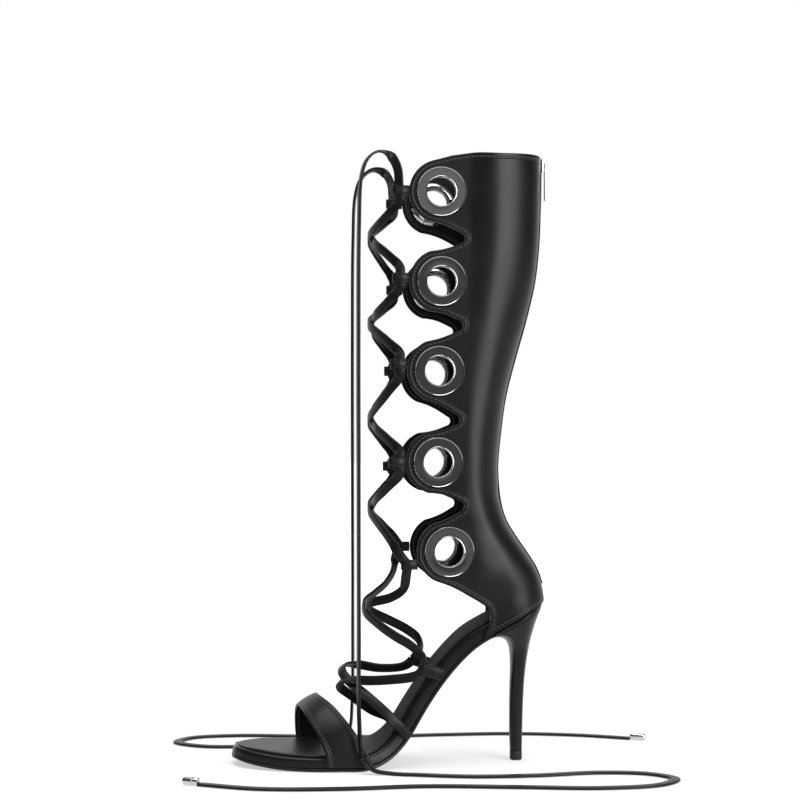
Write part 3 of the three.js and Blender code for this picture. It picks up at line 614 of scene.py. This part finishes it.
# low(x) and high(x) are the layer's two heights; its edge is rounded, at the toe's tip as well.
def soleLayer(low, high, inset=0.0, topRound=1.2, lowRound=0.5, last=17.0, edge=None):
    rows = soleFacts["rows"]
    edges = soleEdges(inset, last)
    arc, flats = 6, 9
    ring = [("low", -1 + 2 * k / flats, 0.0) for k in range(flats + 1)]
    ring += [("lowArc", 1, k / arc) for k in range(1, arc + 1)]
    ring += [("highArc", 1, k / arc) for k in range(arc)]
    ring += [("high", 1 - 2 * k / flats, 0.0) for k in range(flats + 1)]
    ring += [("highArc", -1, 1 - k / arc) for k in range(1, arc + 1)]
    ring += [("lowArc", -1, 1 - k / arc) for k in range(arc)]
    tipX = edges[0][0]

    def eased(d, reach):
        t = 1 - min(max(d / reach, 0.0), 1.0)
        return math.sqrt(max(1 - t * t, 0.0))

    def place(i, j):
        kind, v, turn = ring[i]
        x, left, right = edges[j]
        bottom, top = low(x), high(x)
        rounding, lower = min(topRound, (top - bottom) * 0.6), min(lowRound, (top - bottom) * 0.35)
        top -= rounding * (1 - eased(x - tipX, rounding))
        bottom += lower * (1 - eased(x - tipX, lower))
        middle, half = (left + right) / 2, (right - left) / 2
        rounding, lower = min(rounding, half), min(lower, half)
        angle = math.pi / 2 * turn
        reach, height = half - (lower if kind in ("low", "lowArc") else rounding), bottom if kind == "low" else top
        if kind == "lowArc":
            reach, height = reach + lower * math.sin(angle), bottom + lower * (1 - math.cos(angle))
        elif kind == "highArc":
            reach, height = reach + rounding * math.cos(angle), top - rounding * (1 - math.sin(angle))
        return onSole(x, middle + v * reach, height)

    return placedGrid(len(ring), rows, place, edge=edge)


def makeSole():
    facts = soleFacts
    outsole = soleLayer(lambda x: 0.0, lambda x: facts["outsole"], topRound=0.9, lowRound=0.7, last=-19)
    makePiece("outsole_look", outsole, outsoleSkin, ["outsole"])
    board = soleLayer(lambda x: facts["outsole"] + facts["gap"], boardTop, topRound=2.6, lowRound=0.5)
    makePiece("sole_board_look", board, soleLeather, ["sole_board"])
    inset = facts["insoleInset"]
    rim = [(row["x"], -(row["outer"] - inset)) for row in soleRows[1:-1]]
    rim += [(row["x"], row["inner"] - inset) for row in reversed(soleRows[1:-1])]
    nearest = edgeReader(rim, rim[1:] + rim[:1])

    # read at the place on the underside that the point stands over
    def insoleEdge(i, j, p):
        x = p.x
        for _ in range(4):
            rise = under(x + 0.5) - under(x - 0.5)
            x = p.x + insoleTop(x) * rise / math.hypot(rise, 1)
        return nearest((x, p.y))

    insole = soleLayer(lambda x: boardTop(x) + facts["gap"], insoleTop, inset=inset, topRound=1.1, edge=insoleEdge)
    makePiece("insole_look", insole, insoleLeather, ["insole"])
    print("sole made")


makeSole()

# Heel and its top piece.
# Each row joins a point of the back line to a point of the breast line; the rows lean towards the seat.
heelRows = table("backX backZ breastX breastZ half", [
    (4.4, 7.1, -4.4, 7.1, 4.5), (4.7, 20, -4.8, 20, 4.7), (5.3, 40, -4.8, 40, 5.2), (6.3, 58, -4.4, 57, 6.4),
    (7.6, 70, -4.0, 68, 8.4), (9.1, 80, -4.2, 76, 11.4), (10.5, 88, -4.8, 81.5, 15.2), (12.2, 95, -6.4, 85.4, 19.4),
    (14.2, 101.6, -9.6, 88.4, 23.2), (16.2, 107, -14.4, 89.8, 26.2), (18, 111.4, -20, 89.4, 28.2),
    (19.3, 117, -27, 88.2, 29),
])
heelFacts = {"rows": 96, "sides": 64, "seatFrom": 80, "breastFrom": 9, "breastTo": 86}
backLine = vectors([(row["backX"], row["backZ"], row["half"]) for row in heelRows])
breastLine = vectors([(row["breastX"], row["breastZ"], row["half"]) for row in heelRows])


# A point of the heel's skin: how far up the rows, how far round, and moved inwards by shrink.
def heelPoint(share, around, shrink=0.0):
    back, breast = splineAt(backLine, share), splineAt(breastLine, share)
    turn = 2 * math.pi * around
    c, s = math.cos(turn), math.sin(turn)
    blunt = 0.5 if c < 0 else 0.85
    long = 0.5 + 0.5 * math.copysign(abs(c) ** blunt, c)
    x = mix(breast.x, back.x, long) - shrink * c
    y = (back.z - shrink) * math.copysign(abs(s) ** 0.85, s)
    return Vector((x, y, mix(breast.y, back.y, long)))


# The heel's top lies just under the board, and under the outsole's end in front.
def seatHeight(x):
    return onSole(x, 0, mix(-0.3, soleFacts["outsole"], smooth((x + 19) / 0.8))).z


def makeHeel(facts):
    sides, rows = facts["sides"], facts["rows"]

    def place(i, j):
        p = heelPoint(j / rows, (i + 0.5) / sides)
        if p.z > facts["seatFrom"]:
            p.z = min(p.z, seatHeight(p.x))
        return p

    bm = placedGrid(sides, rows, place)
    # the front-facing faces of the breast take the lighter leather: painted reflection
    for face in bm.faces:
        height = face.calc_center_median().z / mm
        if face.normal.x < -0.75 and facts["breastFrom"] < height < facts["breastTo"]:
            face.material_index = 1
    makePiece("heel_look", bm, [heelCover, heelBreastPaintedSheen], ["heel"], sharp=60)

    levels = [(0, 0.7), (0.12, 0.35), (0.4, 0.12), (0.8, 0), (3.4, 0), (6.2, 0), (6.6, 0.15), (6.8, 0.4)]

    def placeTip(i, j):
        height, shrink = levels[j]
        p = heelPoint(0, (i + 0.5) / sides, shrink)
        return (p.x, p.y, height)

    tip = placedGrid(sides, len(levels) - 1, placeTip)
    makePiece("top_piece_look", tip, heelRubber, ["top_piece"], sharp=60)
    print("heel made")


makeHeel(heelFacts)

# Shaft.
shaftRows = table("z back round half flat panel", [
    (80, 19.6, -8, 29.6, -36, 29.4), (106, 19.8, -8, 29.7, -36, 29.4), (119, 20.2, -8, 30, -36, 31.8),
    (130, 18.2, -9, 30.4, -36, 35.4), (140, 14.4, -12, 30.8, -34, 36), (151, 7.4, -17, 31, -33.5, 36),
    (162, -0.2, -23, 31.3, -33.5, 36), (174, -7.4, -29, 31.8, -37, 36), (186, -11.2, -33, 32.4, -40, 36),
    (201, -13.2, -36, 33, -41, 36), (217, -13.6, -37, 33.8, -41, 36), (233, -12.2, -38, 34.4, -41, 36),
    (264, -7.9, -38, 35.8, -40, 36), (295, 0, -37, 36.8, -40, 36), (312, 4.9, -36.5, 37.4, -39, 36),
    (329, 9.4, -35.5, 38, -38.5, 36), (350, 14, -33, 38.6, -38.5, 36), (375, 16.8, -31, 39.2, -38.5, 36),
    (400, 17.9, -30, 39.4, -38.5, 36), (425, 18.5, -30, 39.2, -38.5, 36), (448, 18.6, -30, 39, -38.5, 36),
])
scallops = table("x z notchX notchZ outer inner", [
    (-57.6, 410, -40.5, 377.4, 410.6, 410.4), (-57.4, 345.9, -42.2, 315.2, 348.2, 345.4),
    (-59, 282, -44.4, 247.9, 286.6, 284.6), (-60, 217, -41.3, 186.4, 216.8, 213.4),
    (-52, 153.5, -34, 119, 144.5, 153.4),
])
shaftFacts = {
    "wall": 2.0, "panelHalf": 36, "lobe": 23, "hollow": 1.5, "bay": 3.6, "bayDrop": 0.6, "crown": 1.5, "hole": 14,
    "rowStep": 1.5, "flatColumns": 26, "roundColumns": 22, "arcSteps": 30, "lineSteps": 6, "baySteps": 8,
}
collarCorner = (-50, 435.6)
counterLine = [(-34, 119.5), (-27.6, 115.6), (-23.2, 112.4), (-21.6, 107.8), (-22.2, 103), (-24.6, 97), (-27, 90.4)]
# The rows are level up the leg and fan out to the collar and to the seat, where the seam has its own height.
rowFans = [{"from": 395, "to": 435.6, "seam": 439.8}, {"from": 165, "to": 90.4, "seam": 116.7}]
backAt, roundAt, halfAt, flatAt, panelAt = (
    column(shaftRows, "z", name) for name in ("back", "round", "half", "flat", "panel")
)

# Soft troughs and ridges in the leather: where, how far they reach, how deep, and on which side.
shaftFolds = table("x z wide high deep side", [
    (3, 112, 17, 10, 0.85, 0), (-30, 168, 16, 9, -0.7, 0), (-18, 140, 13, 10, 0.5, 0), (-12, 193, 12, 7, -0.5, 0),
    (-25, 250, 10, 60, 0.3, -1), (-6, 330, 12, 50, -0.35, -1), (-20, 390, 16, 34, 0.35, 1),
])


# The front edge from the collar's corner down to the seat, as even points: lobes round the rings,
# with a small bay between each two.
def frontOutline(facts):
    radius, deep, bay = facts["lobe"], facts["hollow"], facts["bay"]

    def hollow(start, end, depth):
        shares = [n / facts["lineSteps"] for n in range(1, facts["lineSteps"])]
        return [(mix(start[0], end[0], t), mix(start[1], end[1], t) + depth * math.sin(math.pi * t)) for t in shares]

    points = [collarCorner]
    above = collarCorner
    for k, ring in enumerate(scallops):
        below = (ring["notchX"], ring["notchZ"])
        centre = (ring["x"], ring["z"])

        def touch(notch, side):
            dx, dz = notch[0] - centre[0], notch[1] - centre[1]
            return math.atan2(dz, dx) + side * math.acos(radius / math.hypot(dx, dz))

        start, end = touch(above, 1), touch(below, -1) + 2 * math.pi
        turns = [mix(start, end, n / facts["arcSteps"]) for n in range(facts["arcSteps"] + 1)]
        arc = [(centre[0] + radius * math.cos(turn), centre[1] + radius * math.sin(turn)) for turn in turns]
        if k > 0:
            points += hollow(points[-1], arc[0], -0.8 * deep)
        points += arc
        bays = []
        if k < len(scallops) - 1:
            turns = [mix(1.3, -0.95, n / facts["baySteps"]) for n in range(facts["baySteps"] + 1)]
            middle = (below[0] - bay, below[1] - facts["bayDrop"])
            bays = [(middle[0] + bay * math.cos(turn), middle[1] + bay * math.sin(turn)) for turn in turns]
        points += hollow(arc[-1], bays[0] if bays else below, deep) + bays
        above = below
    points += counterLine
    run = runAlong(points)
    at = np.linspace(0, run[-1], round(run[-1] / facts["rowStep"]) + 1)
    return list(zip(*(np.interp(at, run, [p[k] for p in points]) for k in (0, 1))))


# Where a front height meets the back seam.
def seamHeight(z):
    for fan in rowFans:
        share = (z - fan["from"]) / (fan["to"] - fan["from"])
        if share > 0:
            return mix(fan["from"], fan["seam"], share)
    return z


# A point of the shaft: the front edge's point, the share of the way to the back seam, and the side.
def shaftPoint(front, s, side):
    xf, zf = front
    split = shaftFacts["flatColumns"] / (shaftFacts["flatColumns"] + shaftFacts["roundColumns"])
    if side > 0 and zf < 119:
        xf += 3 * smooth((119 - zf) / 7)
    z, x, turn = zf, xf, 0.0
    for _ in range(3):
        start, back = roundAt(z), backAt(z)
        turn = max(0.0, (s - split) / (1 - split)) * math.pi / 2
        x = mix(xf, start, s / split) if s < split else mix(start, back, math.sin(turn))
        crown = shaftFacts["crown"] * smooth((zf - 405) / 30) * math.exp(-(((x + 33) / 13) ** 2))
        z = mix(zf, seamHeight(zf), (x - xf) / (back - xf)) + crown
    reach = smooth((x - flatAt(z)) / (roundAt(z) + 18 - flatAt(z)))
    half = mix(panelAt(z), halfAt(z), reach)
    y = half * max(math.cos(turn), 0.0) ** 0.92 if s < 1 else 0.0
    return Vector((x, side * y, z))


# How far the folds push a point of one side out or in.
def foldPush(p, side):
    push = 0.0
    for fold in shaftFolds:
        if fold["side"] in (0, side):
            across, up = (p.x - fold["x"]) / fold["wide"], (p.z - fold["z"]) / fold["high"]
            push += fold["deep"] * math.exp(-across ** 2 - up ** 2)
    return push


def makeShaft(facts):
    outline = frontOutline(facts)
    columns = facts["flatColumns"] + facts["roundColumns"]
    rows = len(outline) - 1
    whole = bmesh.new()
    for side in (-1, 1):
        grid = {(i, j): shaftPoint(outline[j], i / columns, side) for i in range(columns + 1) for j in range(rows + 1)}

        # folds push the leather along the section's own outward direction
        def place(i, j):
            p, before, after = grid[i, j], grid[max(i - 1, 0), j], grid[min(i + 1, columns), j]
            out = Vector((after.y - before.y, before.x - after.x, 0)).normalized() * (-side)
            return p + out * foldPush(p, side) if i < columns else p

        # developed position: along the section from the front edge, and up
        developed = {}
        for j in range(rows + 1):
            u = grid[0, j].x
            for i in range(columns + 1):
                if i:
                    step = grid[i, j] - grid[i - 1, j]
                    u += math.hypot(step.x, step.y)
                developed[i, j] = (u, grid[i, j].z)
        rim = [developed[i, 0] for i in range(columns, 0, -1)] + [developed[0, j] for j in range(rows + 1)]
        rim += [developed[i, rows] for i in range(1, columns + 1)]
        nearest = edgeReader(rim[:-1], rim[1:])
        bm = placedGrid(columns, rows, place, wrapped=False, edge=lambda i, j, p: nearest(developed[i, j]))
        if side > 0:
            bmesh.ops.reverse_faces(bm, faces=bm.faces)
        joinInto(whole, bm)
    bmesh.ops.remove_doubles(whole, verts=whole.verts, dist=1e-6)
    # the holes under the rings
    cut = []
    for face in whole.faces:
        c = face.calc_center_median() / mm
        if abs(c.y) > 20 and any(math.hypot(c.x - ring["x"], c.z - ring["z"]) < facts["hole"] for ring in scallops):
            cut.append(face)
    bmesh.ops.delete(whole, geom=cut, context="FACES")
    outwards = 0.0
    for face in whole.faces:
        c = face.calc_center_median()
        outwards += face.normal.dot(c - Vector((-0.03, 0, c.z)))
    if outwards < 0:
        bmesh.ops.reverse_faces(whole, faces=whole.faces)
    shaft = makePiece("shaft_look", whole, upperLeather, ["shaft"], sharp=60)
    giveWall(shaft, facts["wall"])
    print("shaft made,", rows, "rows")


makeShaft(shaftFacts)

# Rings.
ringFacts = {"turns": 72, "shadeRadius": 10.6, "shadeHeight": 0.9}
ringProfile = [
    (10.4, -3.5), (10.4, 0.7), (10.48, 1.15), (10.68, 1.4), (10.92, 1.42), (11.12, 1.28), (11.22, 1.16), (11.5, 1.15),
    (16.8, 1.15), (17.08, 1.16), (17.18, 1.26), (17.4, 1.42), (17.65, 1.4), (17.88, 1.1), (18.0, 0.6), (17.9, 0.3),
    (11.7, 0.25), (11.5, 0.1), (11.5, -2.25), (16.2, -2.25), (16.4, -2.4), (16.3, -2.65), (13.8, -4.4), (13.6, -4.4),
    (13.4, -3.9), (13.15, -3.9), (12.9, -4.15), (11.2, -4.2), (10.65, -3.95),
]


def makeRings(facts):
    for side, name in ((-1, "lateral"), (1, "medial")):
        for k, ring in enumerate(scallops):
            bm = bmesh.new()
            bmesh.ops.create_circle(bm, segments=len(ringProfile), radius=1)
            for v, (r, h) in zip(bm.verts, ringProfile):
                v.co = Vector((r, side * h, 0)) * mm
            bmesh.ops.spin(
                bm, geom=bm.edges[:] + bm.verts[:], cent=(0, 0, 0), axis=(0, 1, 0), angle=2 * math.pi,
                steps=facts["turns"], use_merge=True,
            )
            bmesh.ops.remove_doubles(bm, verts=bm.verts, dist=1e-7)
            bmesh.ops.recalc_face_normals(bm, faces=bm.faces)
            # the near (outer) rings' barrels take the dark metal: painted shade inside the hole
            for face in bm.faces if side < 0 else ():  # the outer rings' barrels are in their own shade
                c = face.calc_center_median() / mm
                if math.hypot(c.x, c.z) < facts["shadeRadius"] and -c.y < facts["shadeHeight"]:
                    face.material_index = 1
            shift = Vector((ring["x"], side * shaftFacts["panelHalf"], ring["z"])) * mm
            bmesh.ops.translate(bm, vec=shift, verts=bm.verts)
            finishes, nodes = [ringChrome, ringBarrelPaintedShade], [f"grommet_{name}_{k + 1}"]
            makePiece(f"ring_{name}_{k + 1}", bm, finishes, nodes, sharp=40)
    print("rings made")


makeRings(ringFacts)

# Keepers and arch loops: leather tabs folded round the lace.
tabFacts = {"keeperReach": 12, "keeperHeight": 7, "archReach": 17, "archHeight": 9, "thick": 5, "skin": 1.2}
archLoops = [
    {"name": "lateral", "x": -56.5, "y": -31.5, "z": 66, "tilt": 0.3},
    {"name": "medial", "x": -59, "y": 26.2, "z": 66, "tilt": 0.3},
]


# The strip of a tab in section, with a stitched groove near each edge of its outer face.
def tabSection(height, skin):
    h, s = height / 2, skin / 2
    rim = [(h - 1.4, s), (h - 1.15, s * 0.72), (h - 0.9, s), (h - 0.35, s), (h, s * 0.4)]
    outer = [(-u, v) for u, v in reversed(rim)] + [(0, s * 1.06)] + rim
    return [(-h, -s * 0.4)] + outer + [(h, -s * 0.4), (h - 0.35, -s), (0, -s), (-h + 0.35, -s)]


# A strip laid double round its loop, its two legs pinched together where they are sewn in.
def foldedTab(reach, height, pinch=0.55, steps=12):
    skin, half = tabFacts["skin"], tabFacts["thick"] / 2 - tabFacts["skin"] / 2
    leg = reach - tabFacts["thick"] / 2

    def legPoint(k, way):
        x = -leg * k / steps
        return Vector((x, way * half * mix(pinch, 1, smooth((-x - 0.5) / (leg * 0.55))), 0))

    turns = [math.pi * k / steps for k in range(1, steps)]
    path = [legPoint(k, -1) for k in range(steps + 1)]
    path += [Vector((-leg - half * math.sin(turn), -half * math.cos(turn), 0)) for turn in turns]
    path += [legPoint(k, 1) for k in range(steps, -1, -1)]
    faces = [Vector((0, -1, 0))] * (steps + 1)
    faces += [Vector((-math.sin(turn), -math.cos(turn), 0)) for turn in turns]
    faces += [Vector((0, 1, 0))] * (steps + 1)
    return sweep(path, lambda p, share: faces[round(share * (len(path) - 1))], tabSection(height, skin))


# Where a keeper starts, just inside the lobe's edge.
def keeperBase(ring, z):
    offsets = [z + part * tabFacts["keeperHeight"] - ring["z"] for part in (-0.5, 0, 0.5)]
    deepest = max(math.sqrt(max(shaftFacts["lobe"] ** 2 - offset ** 2, 0)) for offset in offsets)
    return ring["x"] - deepest - 0.3


def makeTabs():
    for side, name, key in ((-1, "lateral", "outer"), (1, "medial", "inner")):
        for k, ring in enumerate(scallops):
            bm = foldedTab(tabFacts["keeperReach"], tabFacts["keeperHeight"])
            shift = Vector((keeperBase(ring, ring[key]), side * (shaftFacts["panelHalf"] - 1), ring[key]))
            bmesh.ops.translate(bm, vec=shift * mm, verts=bm.verts)
            node = f"keeper_{name}_{k + 1}"
            makePiece(f"{node}_look", bm, tabLeather, [node], sharp=60)
    for row in archLoops:
        bm = foldedTab(tabFacts["archReach"], tabFacts["archHeight"], pinch=0.8)
        turn = Matrix.Translation(Vector((row["x"], row["y"], row["z"])) * mm) @ Matrix.Rotation(row["tilt"], 4, "Y")
        bmesh.ops.transform(bm, matrix=turn, verts=bm.verts)
        node = f"arch_loop_{row['name']}"
        makePiece(f"{node}_look", bm, tabLeather, [node], sharp=60)
    print("keepers and loops made")


makeTabs()

# Toe strap.
strapRows = table("front back", [
    ((-138.5, -41.2, 3), (-106.5, -38.9, 3)),
    ((-140.5, -41, 13), (-111.5, -38.4, 16)),
    ((-145.5, -36.6, 24.5), (-121.5, -35, 30)),
    ((-152, -24, 34.6), (-132.5, -24, 42)),
    ((-156.5, -6, 38.8), (-142, -6, 47.6)),
    ((-159, 14, 37.8), (-144.5, 13, 46.4)),
    ((-160.5, 30, 30.5), (-143, 29, 38)),
    ((-160.5, 40.6, 17), (-136, 40.4, 22)),
    ((-159, 42.8, 3), (-125, 41.4, 3)),
])
strapFacts = {"wall": 2.0, "along": 130, "across": 26, "crown": 1.0}


def makeToeStrap(facts):
    front, back = (vectors([row[edge] for row in strapRows]) for edge in ("front", "back"))
    along, across = facts["along"], facts["across"]

    def skin(i, j):
        f, b = splineAt(front, j / along), splineAt(back, j / along)
        ahead = splineAt(front, min(j + 1, along) / along) - splineAt(front, max(j - 1, 0) / along)
        ahead += splineAt(back, min(j + 1, along) / along) - splineAt(back, max(j - 1, 0) / along)
        out = (b - f).cross(ahead).normalized()
        share = i / across
        return f.lerp(b, share) + out * (facts["wall"] + facts["crown"] * 4 * share * (1 - share))

    places = {(i, j): skin(i, j) for i in range(across + 1) for j in range(along + 1)}
    runs = runAlong([places[0, j] for j in range(along + 1)])

    def strapEdge(i, j, p):
        width = (places[0, j] - places[across, j]).length
        return min(i, across - i) / across * width, runs[j]

    bm = placedGrid(across, along, lambda i, j: places[i, j], wrapped=False, edge=strapEdge)
    middle = Vector((-0.14, 0, 0))
    if sum(face.normal.dot(face.calc_center_median() - middle) for face in bm.faces) < 0:
        bmesh.ops.reverse_faces(bm, faces=bm.faces)
    strap = makePiece("toe_strap_look", bm, upperLeather, ["toe_strap"], sharp=60)
    giveWall(strap, facts["wall"])
    print("toe strap made")


makeToeStrap(strapFacts)

# Laces: two long strands, drawn through the loops and keepers, crossing in front.
crossings = table("z low high", [
    (380.5, 1, 0), (317.5, 2, 1), (247.5, 3, 2), (183.3, 4, 3),
])
laceFacts = {"front": -106.4, "legAxis": -58, "lift": 1.15, "step": 1.8, "keeperIn": 7.2, "rise": 6.5}


def keeperMiddle(ring, side):
    z = ring["outer"] if side < 0 else ring["inner"]
    return Vector((keeperBase(ring, z) - laceFacts["keeperIn"], side * (shaftFacts["panelHalf"] - 1), z))


# One strand of a crossing; over is 1 above the other strand and -1 below it.
def laceStrand(points, facing, over):
    path = evenly(points, round(runAlong(points)[-1] / laceFacts["step"]))
    middle = min(range(len(path)), key=lambda k: abs(path[k].y))
    for k, p in enumerate(path):
        away = abs(k - middle) * laceFacts["step"]
        p += facing(p, 0).normalized() * over * laceFacts["lift"] * (1 - smooth((away - 4) / 16))
    return sweep(path, facing, laceSection)


def makeCrossing(number, strands, facing):
    whole = bmesh.new()
    for points, over in strands:
        joinInto(whole, laceStrand(points, facing, over))
    node = f"lace_cross_{number}"
    makePiece(f"{node}_look", whole, laceLeather, [node], sharp=60)


def makeLaces():
    def awayFromLeg(p, share):
        out = Vector((p.x - laceFacts["legAxis"], p.y, 0)).normalized()
        return out.lerp(Vector((0, math.copysign(1, p.y), 0)), smooth((abs(p.y) - 31) / 4))

    for k, row in enumerate(crossings):
        strands = []
        for side in (-1, 1):
            low, high = scallops[row["low"]], scallops[row["high"]]
            start, end = keeperMiddle(low, side), keeperMiddle(high, -side)
            z = row["z"]
            fromZ, toZ = start.z + laceFacts["rise"], end.z - laceFacts["rise"]
            points = [
                start, Vector((-87, side * 35.8, fromZ)), Vector((-95.6, side * 27, mix(fromZ, z, 0.42))),
                Vector((-103.6, side * 14, mix(fromZ, z, 0.76))), Vector((laceFacts["front"], 0, z)),
                Vector((-103.6, -side * 14, mix(z, toZ, 0.24))), Vector((-95.6, -side * 27, mix(z, toZ, 0.58))),
                Vector((-87, -side * 35.8, toZ)), end,
            ]
            strands.append((points, side * (-1) ** k))
        makeCrossing(k + 1, strands, awayFromLeg)

    def instepFacing(p, share):
        out = Vector((p.x + 62, p.y, (p.z - 85) * 0.25)).normalized()
        beside = smooth((abs(p.y) - 31) / 4) * smooth((p.z - 100) / 20)
        low = 0.8 * smooth((96 - p.z) / 14) * smooth((p.z - 70) / 6)
        out = out.lerp(Vector((0, math.copysign(1, p.y), 0)), beside)
        return out.lerp(Vector((-0.94, math.copysign(0.34, p.y), 0.2)), low)

    outer = vectors([
        (-71.2, -31.7, 69.5), (-69.8, -31.6, 74), (-70.6, -31.4, 79), (-79.7, -30, 87.2), (-90.1, -26, 93.2),
        (-101.4, -16, 100.6), (-109.2, -4, 108), (-109.9, 4, 114.1), (-103.4, 13, 119.6), (-93.8, 22, 126.8),
        (-87.6, 29, 135.8), (-85.8, 34, 145),
    ]) + [keeperMiddle(scallops[4], 1)]
    inner = vectors([
        (-73.6, 26.2, 70), (-69.4, 26.6, 73.5), (-67.4, 27, 79), (-69.6, 26, 85.6), (-77.6, 22.5, 92.4),
        (-92.2, 13, 100.8), (-106.4, 3, 108.3), (-110.6, -5, 112.8), (-105.2, -14, 116.4), (-92.8, -25, 120.6),
        (-84.6, -31.5, 127.2), (-82.8, -34.6, 136.4),
    ]) + [keeperMiddle(scallops[4], -1)]
    makeCrossing(5, ((outer, 1), (inner, -1)), instepFacing)

    def toeFacing(p, share):
        level = mix(1, 0.22, smooth((p.x + 124) / 12) * smooth((p.z - 56) / 4))
        out = Vector((p.x + 88, p.y, (p.z - 14) * level)).normalized()
        low = smooth((36 - p.z) / 6)
        return out.lerp(Vector((0.1, math.copysign(1, p.y), 0)), low)

    outer = vectors([
        (-80.6, -31.4, 22.8), (-84.6, -33, 27.2), (-89.6, -34.4, 32.8), (-98.6, -32.4, 41.4), (-110.6, -24, 51.2),
        (-120.9, -13, 58.4), (-126.3, -3, 64.3), (-124.5, 6, 68.1), (-115.4, 14, 68.1), (-98, 22, 64.4),
        (-82, 26.3, 64.6), (-76.5, 26.3, 67), (-73.6, 26.2, 70),
    ])
    inner = vectors([
        (-84, 26.6, 18.4), (-87.6, 28.8, 22.6), (-91.8, 30, 27), (-103.7, 26, 32.8), (-118.6, 14, 44.8),
        (-129, 3, 54.4), (-128.6, -6, 59.6), (-120.3, -15, 60.8), (-106.4, -24, 61.5), (-92.4, -29, 62.8),
        (-79, -31.5, 64.6), (-73.8, -31.7, 66.4), (-71.2, -31.7, 69.5),
    ])
    makeCrossing(6, ((outer, 0.9), (inner, -0.9)), toeFacing)
    print("laces made")


makeLaces()

# Zip: tape, two rows of teeth, slider and pull.
zipFacts = {"top": 429, "bottom": 128, "pitch": 1.6, "steps": 150, "tooth": (1.0, 1.9, 0.9), "toothEase": 0.22}
tapeSection = [
    (-3, 0.1), (-2.9, 0.5), (-1.4, 0.62), (0, 0.66), (1.4, 0.62), (2.9, 0.5), (3, 0.1), (2.6, -0.2), (-2.6, -0.2),
]


def backSlope(z):
    return (backAt(z + 1) - backAt(z - 1)) / 2


def backPoint(z, out, y=0.0):
    return Vector((backAt(z), y, z)) + Vector((1, 0, -backSlope(z))).normalized() * out


def easeEdges(bm, edges, width, segments):
    bmesh.ops.bevel(
        bm, geom=edges, offset=width * mm, segments=segments, affect="EDGES", profile=0.5, material=-1,
        clamp_overlap=segments > 1,
    )


def makeZip(facts):
    steps = facts["steps"]
    path = [backPoint(mix(facts["bottom"], facts["top"], k / steps), 0.35) for k in range(steps + 1)]
    tape = sweep(path, lambda p, share: Vector((1, 0, 0)), tapeSection)
    count = int((facts["top"] - facts["bottom"]) / facts["pitch"])
    for k in range(count):
        z = facts["bottom"] + (k + 0.5) * facts["pitch"]
        for side in (-1, 1):
            tooth = bmesh.new()
            bmesh.ops.create_cube(tooth, size=1)
            bmesh.ops.scale(tooth, vec=Vector(facts["tooth"]) * mm, verts=tooth.verts)
            easeEdges(tooth, tooth.edges[:], facts["toothEase"], 1)
            for face in tooth.faces:
                face.material_index = 1
            spot = backPoint(z + side * facts["pitch"] / 4, 0.75, side * 0.75)
            lean = math.atan(backSlope(z))
            joinInto(tape, tooth, Matrix.Translation(spot * mm) @ Matrix.Rotation(lean, 4, "Y"))
    makePiece("zip_chain_look", tape, [zipTape, zipTeeth], ["zip_chain"], sharp=40)

    # the slider and the pull keep their own solids, merged and with eased edges
    for node, body, ease in (("zip_slider", "shoe", 0.35), ("zip_pull", "pull", 0.25)):
        bm = bmesh.new()
        bm.from_mesh(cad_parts[node].data)
        bmesh.ops.remove_doubles(bm, verts=bm.verts, dist=1e-6)
        bmesh.ops.dissolve_limit(bm, angle_limit=math.radians(2), verts=bm.verts, edges=bm.edges)
        corners = [edge for edge in bm.edges if edge.is_manifold and edge.calc_face_angle() > math.radians(50)]
        easeEdges(bm, corners, ease, 2)
        makePiece(f"{node}_look", bm, nickel, [node], body=body, sharp=35)
    print("zip made,", count, "pairs of teeth")


makeZip(zipFacts)
